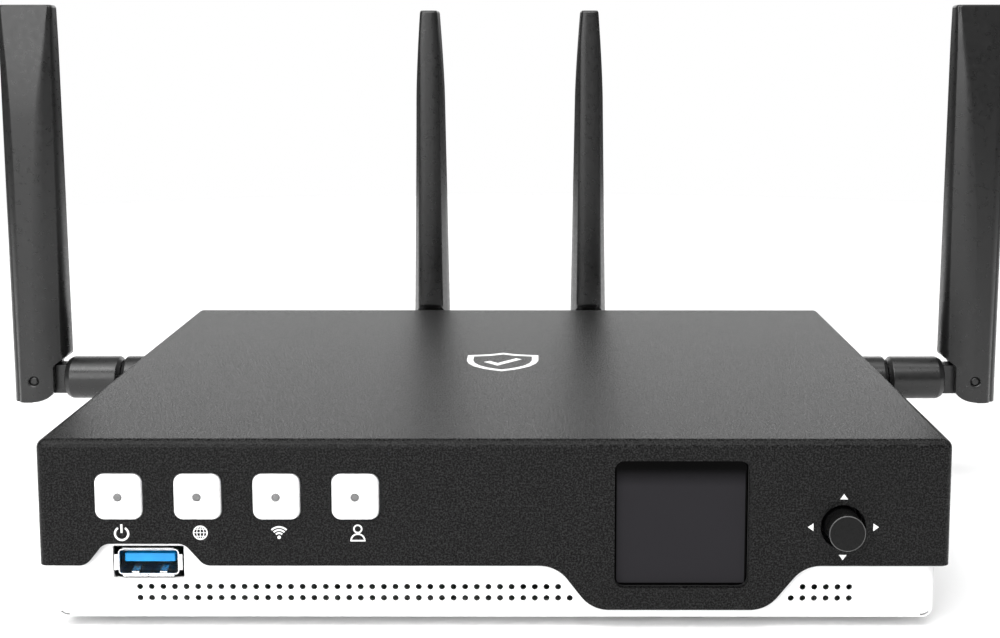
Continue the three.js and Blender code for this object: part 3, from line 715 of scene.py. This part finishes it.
def make_key_cap(name, place):
    rounding = quarter(8)
    size, start, end, back, plunger = KEY_SHAPE.values()
    steps = [(KEY_FACE, -size - 0.9)]
    steps += [(KEY_FACE + size * (1 - cos(a)), size * (sin(a) - 1)) for a in rounding]
    steps += [(start, 0), (start, FLANGE), (end, FLANGE)]
    cap = loft([[(x, y, z) for x, z in key_outline(place, grow, 0)] for y, grow in steps])
    boss = [(end - 0.3, 0), (end - 0.3, plunger), (back, plunger), (back, 0)]
    join(cap, spun(boss, place.x, place.z, 24))
    hole, floor = LIGHT["radius"], KEY_FACE + LIGHT["depth"]
    mouth = [(KEY_FACE - 1, 0), (KEY_FACE - 1, hole + 1.15), (KEY_FACE + 0.15, hole), (floor, hole), (floor, 0)]
    cut(cap, spun(mouth, place.x, place.z, 32))
    finish_piece(cap, f"cap_{name}", "cap_white", f"button_cap_{name}", f"key_{name}")

    high = node_box(f"button_lens_{name}")[1]
    radius, front = hole - LIGHT["slack"], KEY_FACE + LIGHT["recess"]
    dome = [(front + 0.15 * (1 - cos(a)), radius * sin(a)) for a in rounding]
    lens = spun(dome + [(high.y, radius), (high.y, 0)], place.x, place.z, 32)
    finish_piece(lens, f"lens_{name}", "lens_grey", f"button_lens_{name}", f"key_{name}")


for name, place in KEYS.items():
    make_key_cap(name, place)

# ---------- printed marks ----------

PRINT_Y = (-0.03, 0.1)
ICON_Z = 20.0


def ink_stroke(points, width, closed=False):
    return stroke(points, width, *PRINT_Y, closed)


def power_icon(x, z):
    marks = (arc(x, z - 0.2, 1.42, 122, 418, 40), [(x, z + 1.85), (x, z - 0.05)])
    return [ink_stroke(points, 0.44) for points in marks]


def globe_icon(x, z):
    thin = 0.17
    marks = [ink_stroke(circle(x, z, 1.44, 40), 0.28, True)]
    marks.append(ink_stroke([(x, z - 1.4), (x, z + 1.4)], thin))
    marks.append(ink_stroke([(x - 1.4, z), (x + 1.4, z)], thin))
    for side in (-1, 1):
        angles = [radians(a) for a in range(-80, 81, 10)]
        bow = [(x + side * 0.74 * cos(a), z + 1.36 * sin(a)) for a in angles]
        marks.append(ink_stroke(bow, thin))
        marks.append(ink_stroke([(x - 1.15, z + side * 0.78), (x + 1.15, z + side * 0.78)], thin))
    return marks


def wireless_icon(x, z):
    foot = z - 1.0
    marks = [prism(circle(x, foot, 0.38, 20), *PRINT_Y)]
    marks += [ink_stroke(arc(x, foot, radius, 45, 135, 16), 0.38) for radius in (0.93, 1.6, 2.27)]
    return marks


def person_icon(x, z):
    shoulders = [(x - 1.45, z - 1.72)] + arc(x, z - 1.72, 1.45, 165, 15, 18) + [(x + 1.45, z - 1.72)]
    return [ink_stroke(points, 0.32, True) for points in (circle(x, z + 0.85, 0.82, 32), shoulders)]


def arrows():
    marks = []
    for dx, dz in ((0, 1), (1, 0), (0, -1), (-1, 0)):
        tip = 7.57 if dx else 7.29
        base = tip - 1.2
        corners = [(dx * tip, dz * tip), (dx * base - dz * 0.85, dz * base + dx * 0.85)]
        corners.append((dx * base + dz * 0.85, dz * base - dx * 0.85))
        marks.append(prism([(STICK.x + x, STICK.z + z) for x, z in corners], *PRINT_Y))
    return marks


def finish_print(name, marks, matrix=None):
    finish_piece(gather(*marks), name, "ink_white", matrix=matrix, angle=20)


for draw, name in zip((power_icon, globe_icon, wireless_icon, person_icon), KEY_NAMES):
    finish_print(f"icon_{name}", draw(KEYS[name].x + 0.45, ICON_Z))
finish_print("stick_arrows", arrows())


def top_mark():
    """A plain shield with a tick: a generic sign for protection."""
    sides = [(0, 10), (3.5, 8.2), (8.6, 7.2)]
    sides += [(8.6, 1.5), (8.0, -1.8), (6.6, -4.8), (4.4, -7.3), (2.2, -8.9), (0, -10)]
    outline = sides + [(-x, z) for x, z in sides[-2:0:-1]]
    return [ink_stroke(outline, 1.7, True), ink_stroke([(-4.1, 0.4), (-1.2, -3.0), (4.3, 3.6)], 1.9)]


ON_TOP = Matrix.Translation((0, 76, cover_high.z)) @ Matrix.Rotation(-pi / 2, 4, "X")
finish_print("top_mark", top_mark(), ON_TOP)

# ---------- display ----------

PANE_FRONT = 1.45


def make_display():
    low, high = node_box("display_bezel")
    x, z = DISPLAY["x"], DISPLAY["z"]
    width, height = DISPLAY["size"]
    bezel = prism(rounded_rect(x, z, high.x - low.x, high.z - low.z, 1.2), low.y, high.y)
    pocket = rounded_rect(x, z, width + 1.2, height + 1.2, 1.2)
    cut(
        bezel,
        prism(rounded_rect(x, z, width - 0.1, height - 0.1, 1.9), 0, high.y + 1),
        prism(pocket, glass_low.y - GAP, high.y + 1),
    )
    soften(bezel, 0.12)
    finish_piece(bezel, "display_frame", "black_plastic", "display_bezel")

    outline = rounded_rect(x, z, glass_high.x - glass_low.x, glass_high.z - glass_low.z, 1.2)
    pane = prism(outline, glass_low.y, glass_high.y)
    join(pane, prism(rounded_rect(x, z, width - 0.5, height - 0.5, 1.7), PANE_FRONT, glass_low.y + 0.3))
    soften(pane, 0.1)
    finish_piece(pane, "display_pane", "display_glass", "display_glass")

    low, high = node_box("display_panel")
    panel = rounded_block(low.x, high.x, low.y, high.y, low.z, high.z, 0.3, 2)
    behind = (high.y - 0.6, high.y - 0.05, low.z + 2, low.z + 5)
    tabs = [rounded_block(x + at, x + at + 4, *behind, 0.1, 1) for at in (-9, -3, 3)]
    finish_piece(gather(panel, *tabs), "display_module", "chip", "display_panel")


make_display()

# ---------- joystick ----------


def make_joystick():
    x, z = STICK.x, STICK.z
    low, high = node_box("joystick_knob")
    radius = (high.x - low.x) / 2
    front, back, bore, cap = low.y, high.y, 1.75, 1.6
    profile = [(front + 0.06, 0), (front, radius - 0.75)] + fillet(front, radius, 0.42)
    profile += [(back - 0.2, radius), (back, radius - 0.2), (back, bore), (front + cap, bore), (front + cap, 0)]
    finish_piece(spun(profile, x, z, 72), "stick_cap", "knob_black", "joystick_knob", "stick_knob", angle=30)
    # A thin light ring round the knob's face: a painted highlight on its rim.
    rim = arc(front + 0.17, radius - 0.17, 0.13, 0, 360, 12)
    finish_piece(spun(rim, x, z, 72), "stick_rim", "painted_rim_highlight", body="stick_knob", angle=60)

    low, high = node_box("joystick_stem")
    radius = (high.x - low.x) / 2
    waist = [(low.y + 4, radius), (low.y + 4.2, radius - 0.2), (low.y + 4.6, radius - 0.2), (low.y + 4.8, radius)]
    stem = [(low.y, 0)] + fillet(low.y, radius, 0.3) + waist + [(high.y, radius), (high.y, 0)]
    finish_piece(spun(stem, x, z, 32), "stick_shaft", "steel", "joystick_stem", "stick_stem")

    low, high = node_box("joystick_ring")
    radius, hole, front, back = (high.x - low.x) / 2, 2.2, low.y, high.y
    ring = [(front, hole + 0.15), (front, radius - 0.2), (front + 0.2, radius), (back - 0.2, radius)]
    ring += [(back, radius - 0.2), (back, hole + 0.15), (back - 0.15, hole), (front + 0.15, hole)]
    ring.append(ring[0])
    finish_piece(spun(ring, x, z, 40), "stick_gimbal", "steel", "joystick_ring", "stick_ring")

    low, high = node_box("joystick_base")
    base = prism(rounded_rect(x, z, high.x - low.x, high.z - low.z, 1.0), low.y, high.y)
    cut(base, rod("y", x, z, 0, high.y - 0.8, 4.6, 48))
    soften(base, 0.2)
    finish_piece(base, "stick_housing", "knob_black", "joystick_base")


make_joystick()

# ---------- USB socket ----------

USB_TUBE = {"width": 13.1, "height": 5.7, "sheet": 0.3, "radius": 0.9, "mouth": 1.55}
USB_LIP = [(3.2, -0.15), (2.3, -0.15), (1.9, -0.13), (1.62, -0.06), (1.45, 0.08), (1.38, 0.3)]
USB_EAR = [(3.2, -0.15), (2.3, -0.15), (1.9, -0.12), (1.6, 0.02), (1.44, 0.3), (1.38, 0.8)]
USB_SPRING = [(2.0, 10.62), (3.0, 10.75), (3.9, 11.15), (4.6, 11.35), (5.4, 11.2), (7.2, 10.7)]


def make_usb():
    x, z = USB.x, USB_OPENING["z"]
    low, high = node_box("usb_shell")
    width, height, sheet, radius, mouth = USB_TUBE.values()
    shell = prism(rounded_rect(x, z, width, height, radius), mouth, high.y)
    cut(shell, prism(rounded_rect(x, z, width - 2 * sheet, height - 2 * sheet, radius - sheet), 0, high.y + 1))
    soften(shell, 0.1)
    flaps = [strip(USB_LIP, sheet, (x - 5.5, x + 5.5), lambda u, v, w: (w, u, z + height / 2 + v))]
    for side in (-1, 1):
        ends, wall, middle = (x + side * 0.07, x + side * 5.5), x + side * width / 2, x + side * 3
        flaps += [
            strip(USB_LIP, sheet, ends, lambda u, v, w: (w, u, z - height / 2 - v)),
            strip(USB_EAR, sheet, (z - 1.75, z + 1.75), lambda u, v, w: (wall + side * v, u, w)),
            strip(USB_SPRING, 0.25, (middle - 0.8, middle + 0.8), lambda u, v, w: (w, u, v)),
        ]
    for flap in flaps:
        soften(flap, 0.06)
    finish_piece(gather(shell, *flaps), "usb_socket", "steel", "usb_shell")

    low, high = node_box("usb_tongue")
    start = low.y
    tongue = rounded_block(x - 5.45, x + 5.45, start, start + 10.4, z - 0.4, z + 1.5, 0.22, 3)
    root = prism(rounded_rect(x, z, high.x - low.x, high.z - low.z, 0.4), 12.2, high.y)
    finish_piece(root, "usb_root", "black_plastic")
    finish_piece(tongue, "usb_insert", "usb_blue", "usb_tongue")
    lefts = [x - 3.9 + 2.5 * i for i in range(4)]
    contacts = [block(left, left + 1, start + 1.2, 12, z - 0.46, z - 0.3) for left in lefts]
    finish_piece(gather(*contacts), "usb_contacts", "gold_contacts")


make_usb()

# ---------- rear sockets ----------

SOCKET = {"width": 11.8, "height": 7.6, "latch": (6.2, 2.0), "depth": 15, "wall": 1.6, "pitch": 16, "count": 4}
WIRE = {"pitch": 1.02, "width": 0.4, "thickness": 0.28}


def make_ports():
    low, high = node_box("network_port_block")
    latch_floor = low.z + SOCKET["wall"]
    floor = latch_floor + SOCKET["latch"][1]
    ceiling = floor + SOCKET["height"]
    half, half_latch = SOCKET["width"] / 2, SOCKET["latch"][0] / 2
    face, far, back = high.y, high.y + 1, high.y - SOCKET["depth"]
    pitch, count = SOCKET["pitch"], SOCKET["count"]
    centres = [(low.x + high.x) / 2 + (i - (count - 1) / 2) * pitch for i in range(count)]
    shield = rounded_block(low.x, high.x, low.y, high.y, low.z, high.z, 0.35, 3)
    openings, liners, wires, lights = [], [], [], []
    for x in centres:
        left = [(-half, ceiling), (-half, floor), (-half_latch, floor), (-half_latch, latch_floor)]
        outline = left + [(-u, w) for u, w in reversed(left)]
        openings.append(prism([(x + u, w) for u, w in outline], back, far))
        for side in (-1, 1):
            at, wall = x + side * 4.3, x + side * 5.6
            openings.append(block(at - 1.3, at + 1.3, face - 0.4, far, ceiling + 0.35, high.z - 0.3))
            ends = (ceiling + 0.4, high.z - 0.35)
            lights.append(rounded_block(at - 1.25, at + 1.25, face - 1.2, face - 0.1, *ends, 0.15))
            liners.append(block(wall - 0.25, wall + 0.25, back + 0.1, face - 1.0, floor + 0.05, ceiling - 0.1))
        liners.append(block(x - 5.3, x + 5.3, back + 0.05, back + 0.9, floor + 0.05, ceiling - 0.1))
        liners.append(block(x - 5.3, x + 5.3, back + 0.9, face - 6.0, ceiling - 0.9, ceiling - 0.1))
        wire = [(back + 1.0, floor + 3.4), (face - 8.5, floor + 4.6), (face - 6.3, ceiling - 1.2)]
        wire.append((face - 5.7, ceiling - 0.6))
        for i in range(8):
            at = x + (i - 3.5) * WIRE["pitch"]
            span = (at - WIRE["width"] / 2, at + WIRE["width"] / 2)
            wires.append(strip(wire, WIRE["thickness"], span, lambda u, v, w: (w, u, v)))
    cut(shield, *openings)
    for x in centres[1:]:
        seam = x - pitch / 2
        cut(shield, block(seam - 0.12, seam + 0.12, face - 0.25, far, low.z - 1, high.z + 1))
    finish_piece(shield, "port_shield", "tinned_steel", "network_port_block")
    finish_piece(gather(*liners), "port_liners", "black_plastic")
    finish_piece(gather(*wires), "port_contacts", "gold_contacts")
    finish_piece(gather(*lights), "port_lights", "lens_grey")


def make_inlet():
    low, high = node_box("power_inlet")
    (x, z), y = centre("power_inlet").xz, high.y
    housing = rounded_block(low.x, high.x, low.y, y, low.z, high.z, 0.4, 3)
    bore = [(y - 10, 0), (y - 10, 3.2), (y - 0.4, 3.2), (y, 3.5), (y + 1, 4.5), (y + 1, 0)]
    cut(housing, spun(bore, x, z, 48))
    finish_piece(housing, "inlet_housing", "black_plastic", "power_inlet")
    pin = [(y - 10.4, 0), (y - 10.4, 1.0), (y - 1.4, 1.0), (y - 0.8, 0.55), (y - 0.8, 0)]
    sleeve = [(y - 9.9, 2.8), (y - 9.9, 3.1), (y - 1.2, 3.1), (y - 1.2, 2.95), (y - 9.9, 2.8)]
    metal = gather(spun(pin, x, z, 24), spun(sleeve, x, z, 40))
    finish_piece(metal, "inlet_contacts", "steel")


def make_reset():
    low, high = node_box("reset_button")
    x, z = centre("reset_button").xz
    collar, radius, inner = (high.x - low.x) / 2, 1.3, high.y - 0.8
    plunger = [(low.y, 0), (low.y, radius), (inner - 1.3, radius), (inner - 1.3, collar - 0.15)]
    plunger += [(inner - 1.15, collar), (inner - 0.45, collar), (inner - 0.3, collar - 0.15)]
    plunger += [(inner - 0.3, radius), (high.y - 0.25, radius), (high.y, radius - 0.25), (high.y - 0.08, 0)]
    finish_piece(spun(plunger, x, z, 40), "reset_plunger", "black_plastic", "reset_button", "reset")


make_ports()
make_inlet()
make_reset()

# ---------- screws and feet ----------

SCREW_HEAD = [
    (1.36, 0), (1.4, 1.2), (1.33, 1.75), (1.15, 2.2), (0.8, 2.6), (0.35, 2.78), (0.1, 2.8), (0, 2.7), (0, 1.5),
]
SCREW_END = [(-8, 1.0), (-8, 0)]
THREAD = {"pitch": 0.5, "turns": 16, "crest": 1.5, "root": 1.25}
# The cross recess: its two depths, each with the arm's half width and half length there.
RECESS = ((0.75, 0.2, 1.0), (1.6, 0.36, 1.75))


def make_screw(name, place):
    side = copysign(1, place.x)
    thread = []
    for i in range(THREAD["turns"]):
        at = THREAD["pitch"] * -i
        thread += [(at - 0.2, THREAD["crest"]), (at - 0.45, THREAD["root"])]
    screw = turned((SCREW_HEAD + thread[:-1] + SCREW_END)[::-1], 40)
    arms = []
    for turn in (0, pi / 2):
        arm = loft([[(x, -w, -l), (x, w, -l), (x, w, l), (x, -w, l)] for x, w, l in RECESS])
        arm.data.transform(Matrix.Rotation(turn, 4, "X"))
        arms.append(arm)
    cut(screw, *arms)
    matrix = Matrix.Translation((side * (cover_high.x + GAP), place.y, place.z))
    matrix @= Matrix.Rotation(0 if side > 0 else pi, 4, "Z")
    finish_piece(screw, name.replace("cover_screw", "screw"), "screw_black", name, matrix=matrix)


def make_foot(name):
    low, high = node_box(name)
    radius = (high.x - low.x) / 2
    profile = [(low.z + 0.12, 0), (low.z + 0.12, radius - 2.2), (low.z, radius - 1.7)]
    profile += fillet(low.z, radius - 0.25, 0.5) + [(high.z - 0.15, radius), (high.z, radius - 0.15), (high.z, 0)]
    foot = turned(profile)
    foot.data.transform(Matrix.Translation((*centre(name).xy, 0)) @ Matrix.Rotation(-pi / 2, 4, "Y"))
    finish_piece(foot, name.replace("foot", "rubber_foot"), "rubber", name)


for name, place in SCREWS.items():
    make_screw(name, place)
for name in [name for name in nodes if name.startswith("foot")]:
    make_foot(name)

# ---------- antennas ----------
# Each is made once in its arm's frame: x along the arm from the case, z up, the pivot at PIVOT.

PIVOT = 33.5
ARM_RADIUS = 5.9
NUT_END = 9.6
GROOVE = 1.0
BLADE = {
    "below": 6.0, "above": 104.0, "notch": 8.0, "cheek": 5.2,
    "outer": (6.6, 7.2), "inner": (9.2, 7.9), "ridge": (11.8, 10.4), "edge": (8.1, 6.2),
}
FACET = {"foot": 11.8, "lead": 9.1, "lead_start": 0.72, "fall": 3.5, "power": 1.35}
# How far out each ridge beside the facet stands at the foot, how much further at the tip, and how late it gets there.
RIDGES = {"outer": (3.2, 2.9, 5.0), "inner": (0.2, 6.6, 2.8)}
RIDGE_BLEND = (0.9, 0.4)
EDGE_ROUND = (2.0, 0.8)
FLANK_LEAST = 0.5
TONGUE = {"thickness": 5.0, "height": 8.2}
SLOT_SLACK = 0.25
PIN = {"radius": 1.2, "slack": 0.1}
PLACES = {
    "left": (-cover_high.x, SIDE_ARM_Y, 180),
    "right": (cover_high.x, SIDE_ARM_Y, 0),
    "rear_left": (-REAR_ARM_X, cover_high.y, 90),
    "rear_right": (REAR_ARM_X, cover_high.y, 90),
}


def mix(pair, t):
    return pair[0] + (pair[1] - pair[0]) * t


def facet_thickness(t):
    body = mix((FACET["foot"], FACET["lead"]), min(t / FACET["lead_start"], 1))
    tip = max(0, (t - FACET["lead_start"]) / (1 - FACET["lead_start"]))
    return body - FACET["fall"] * tip ** FACET["power"]


def between(a, b, shares, bulge=0.0):
    """Points from a to b, with an outward bow of the given height."""
    return [(mix((a[0], b[0]), s), mix((a[1], b[1]), s) + bulge * sin(pi * s)) for s in shares]


def height_at(x, outline):
    """The outline's height at x, where x falls steadily along it."""
    for (x0, y0), (x1, y1) in zip(outline, outline[1:]):
        if x1 <= x <= x0 and x0 > x1:
            return y0 + (y1 - y0) * (x0 - x) / (x0 - x1)
    return 0.0


def round_ridge(point, outline, reach, ridges):
    """Averages the outline's height over the reach, near its ridges only."""
    x = point[0]
    away = min(abs(x - ridge) for ridge in ridges)
    inside = ridges[1] < x < ridges[0]
    if away > reach and not inside:
        return point
    window = reach if inside else reach - away
    spots = [height_at(x + window * k / 4, outline) for k in range(-4, 5)]
    return (x, sum(spots) / len(spots))


def blade_ring(z, shrink=0.0):
    """The blade's section at a height: a flat centre facet, two bowed flanks and rounded edges."""
    t = max(0.0, z) / BLADE["above"]
    outer, inner = mix(BLADE["outer"], t) - shrink, -mix(BLADE["inner"], t) + shrink
    facet = min(facet_thickness(t), mix(BLADE["ridge"], t)) - shrink * 0.8
    flank = min(mix(BLADE["edge"], t), facet - 0.8)
    size = mix(EDGE_ROUND, t)
    reach_out, reach_in = (start + more * t ** late for start, more, late in (RIDGES["outer"], RIDGES["inner"]))
    ridge_out = (min(reach_out, outer - size - FLANK_LEAST), facet / 2)
    ridge_in = (max(-reach_in, inner + size + FLANK_LEAST), facet / 2)
    climb = 0.1 * (1 - t)
    corner = flank / 2 + (facet - flank) / 2 * climb
    corner_out, corner_in = (outer - size, corner), (inner + size, corner)
    power = mix((1.0, 0.8), t)
    angles = [radians(a) for a in range(0, 90, 15)]
    edge = [(size * cos(a) ** power, corner * sin(a) ** power) for a in angles]
    half = [(corner_out[0] + x, y) for x, y in edge]
    shares = (0, 0.06, 0.2, 0.4, 0.6, 0.8, 0.93, 0.975)
    bow = 0.22 * min(1, (facet - flank) / 2)
    half += between(corner_out, ridge_out, shares, bow)
    near = 0.3 / (ridge_out[0] - ridge_in[0])
    half += between(ridge_out, ridge_in, (near, 0.3, 0.5, 0.7, 1 - near))
    half += between(ridge_in, corner_in, [1 - s for s in reversed(shares)], bow)
    reach = mix(RIDGE_BLEND, min(1, t / FACET["lead_start"]))
    half = [round_ridge(point, half, reach, (ridge_out[0], ridge_in[0])) for point in half]
    half += [(corner_in[0] - x, y) for x, y in reversed(edge)]
    back = [(x, -y) for x, y in reversed(half[1:-1])]
    return [(x, y, z) for x, y in half + back]


def make_blade():
    top, bottom = BLADE["above"], -BLADE["below"]
    size = 0.9
    heights = [bottom + (top - size - bottom) * i / 40 for i in range(41)]
    rings = [blade_ring(z) for z in heights]
    for a in map(radians, (18, 36, 54, 72, 84)):
        rings.append(blade_ring(top - size + size * sin(a), size * (1 - cos(a))))
    blade = loft(rings)
    far = 20
    notch, cheek, below = BLADE["notch"], BLADE["cheek"], BLADE["below"]
    inner = BLADE["inner"][0]
    away = [(-far, notch - 0.4), (-inner, notch - 0.4), (-inner + 0.5, notch - 1.0), (-inner + 0.7, notch - 1.4)]
    away += [(-cheek - 0.25, notch - 3.7), (-cheek, notch - 4.3), (-cheek, -3.0)]
    curve = ((-cheek, -cheek + 1.2, 0.5), (-3.2, -below + 0.3, -below + 0.1))
    for s in (i / 10 for i in range(1, 11)):
        away.append([(1 - s) ** 2 * a + 2 * s * (1 - s) * b + s * s * c for a, b, c in curve])
    away += [(0.5, -below - 5), (-far, -below - 5)]
    half_slot, reach = TONGUE["thickness"] / 2 + SLOT_SLACK, TONGUE["height"] / 2 + 0.4
    bore, rim = PIN["radius"] + PIN["slack"], PIN["radius"] + 0.9
    dish = [(4.9, 0), (4.9, bore), (5.45, bore + 0.05), (6.2, rim), (8, rim), (8, 0)]
    dimples = [spun([(side * y, r) for y, r in dish], 0, 0, 32) for side in (-1, 1)]
    cut(
        blade,
        prism(away, -far, far),
        block(-far, reach, -half_slot, half_slot, -far, reach),
        rod("y", 0, 0, -far, far, bore),
        *dimples,
    )
    return soften(blade, 0.16, 2, 48)


def make_knuckle():
    start, end, radius = NUT_END + 0.3, 25.4, ARM_RADIUS
    sleeve = [(start - 3.5, 0), (start - 3.5, 2.4), (start - 3.3, 2.6), (start, 2.6), (start, radius - GROOVE)]
    sleeve += [(start + GROOVE - 0.15, radius - 0.12), (start + GROOVE + 0.2, radius), (end - 1.9, radius)]
    sleeve += [(end - 1.5, radius - 0.08), (end - 0.5, radius - 0.62), (end - 0.1, radius - 1.3)]
    sleeve += [(end, radius - 1.75), (end, 0)]
    half, thick = TONGUE["height"] / 2, TONGUE["thickness"] / 2
    outline = [(end - 2, half), (end - 2, -half)] + arc(PIVOT, 0, half, -90, 90, 24)
    tongue = prism(outline, -thick, thick)
    cut(tongue, rod("y", PIVOT, 0, -9, 9, PIN["radius"] + PIN["slack"]))
    soften(tongue, 0.25, 3)
    return gather(turned(sleeve, 64), tongue)


def make_pin():
    half = BLADE["ridge"][0] / 2 - 0.5
    radius = PIN["radius"] + 0.04
    side = [(half - 0.1, 0), (half, radius - 0.6), (half, radius - 0.25), (half - 0.2, radius)]
    return spun([(-y, r) for y, r in side] + side[::-1], PIVOT, 0, 32)


def make_nut():
    radius, bore, end = ARM_RADIUS, 3.3, NUT_END
    profile = [(0.3, bore), (0.3, radius - 0.35), (0.42, radius - 0.12), (0.65, radius), (end - GROOVE - 0.2, radius)]
    profile += [(end - GROOVE + 0.15, radius - 0.12), (end, radius - GROOVE), (end, bore), (0.3, bore)]
    return turned(profile, 64)


def make_jack(wall):
    face = -wall - 0.3
    profile = [(face - 2.5, 0), (face - 2.5, 4.4), (face - 2.3, 4.6), (face - 0.2, 4.6), (face, 4.4), (face, 3.0)]
    at = face
    while at < 5.0:
        profile += [(at + 0.25, 3.0), (at + 0.5, 2.72)]
        at += 0.5
    profile += [(5.5, 2.7), (5.6, 2.6), (5.6, 0)]
    return turned(profile)


def place_copy(model, piece, body, look, node, place, angle=40):
    x, y, turn = PLACES[place]
    made = model.copy()
    made.data = model.data.copy()
    bpy.context.scene.collection.objects.link(made)
    matrix = Matrix.Translation((x, y, ARM_Z)) @ Matrix.Rotation(radians(turn), 4, "Z")
    finish_piece(made, f"{piece}_{place}", look, f"{node}_{place}", body, matrix, angle)


def make_antennas():
    blade = make_blade()
    blade.data.transform(Matrix.Translation((PIVOT, 0, 0)))
    knuckle, pin, nut = make_knuckle(), make_pin(), make_nut()
    side_wall = cover_high.x - tray_high.x + SHEET["tray"]
    for place in PLACES:
        wall = SHEET["tray"] if place.startswith("rear") else side_wall
        jack = make_jack(wall)
        place_copy(blade, "antenna_blade", f"blade_{place}", "antenna_black", "paddle", place, 62)
        place_copy(knuckle, "antenna_knuckle", f"knuckle_{place}", "antenna_black", "knuckle", place)
        place_copy(pin, "antenna_pin", f"blade_{place}", "antenna_black", "pivot_pin", place)
        place_copy(nut, "antenna_nut", "case", "antenna_black", "coupling_nut", place)
        place_copy(jack, "antenna_jack_thread", "case", "brass", "antenna_jack", place)
        remove(jack)
    remove(blade, knuckle, pin, nut)


make_antennas()

# ---------- the room ----------

FLOOR_RADIUS = 0.8
AMBIENT = {"horizon": 0.10, "above": 0.45, "rise": 0.5}
# Soft boxes: place and size in metres, and how bright each is beside a white wall.
SOFT_BOXES = {
    "front_top": {"place": (-0.3, -0.85, 1.35), "size": (1.6, 0.55), "radiance": 7.6},
    "backdrop": {"place": (0.1, 2.0, 0.68), "size": (2.4, 0.84), "radiance": 1.75},
    "front_left": {"place": (-0.5, -1.05, 0.42), "size": (0.9, 0.65), "radiance": 4.2},
    "overhead": {"place": (0.0, -0.1, 1.8), "size": (2.2, 0.9), "radiance": 2.8},
}
LIT = Vector((0, 0, 0.03))


def make_floor():
    look = Look("floor_white", grey(0.92), 0.7)
    look.bump(look.noise(40.0), 0.2)
    rim = circle(0, 0, FLOOR_RADIUS, 128)
    mesh = bpy.data.meshes.new("floor")
    mesh.from_pydata([(x, y, 0) for x, y in rim], [], [range(len(rim))])
    mesh.materials.append(LOOKS["floor_white"])
    show("floor", mesh)


def make_world():
    """A pale room: its walls look white, and give a soft fill light that is weaker than the soft boxes."""
    world = bpy.data.worlds.new("room")
    room = Nodes(world)
    background = fill_in(room.tree.nodes["Background"], {"Color": grey(1)})
    fill = room.remap(room.split("Generated")["Z"], 0, AMBIENT["rise"], AMBIENT["horizon"], AMBIENT["above"])
    level = room.node("ShaderNodeMapRange")
    room.link(room.node("ShaderNodeLightPath").outputs["Is Camera Ray"], level.inputs["Value"])
    room.link(fill, level.inputs["To Min"])
    room.link(level.outputs["Result"], background.inputs["Strength"])
    bpy.context.scene.world = world


def make_soft_box(name, place, size, radiance):
    data = bpy.data.lights.new(name, "AREA")
    data.shape = "RECTANGLE"
    data.size, data.size_y = size
    data.energy = radiance * pi * size[0] * size[1]
    lamp = show(name, data)
    lamp.location = place
    lamp.rotation_euler = (LIT - Vector(place)).to_track_quat("-Z", "Y").to_euler()
    lamp.visible_camera = False


make_floor()
make_world()
for name, box in SOFT_BOXES.items():
    make_soft_box(name, **box)
bpy.context.scene.view_settings.view_transform = "Standard"
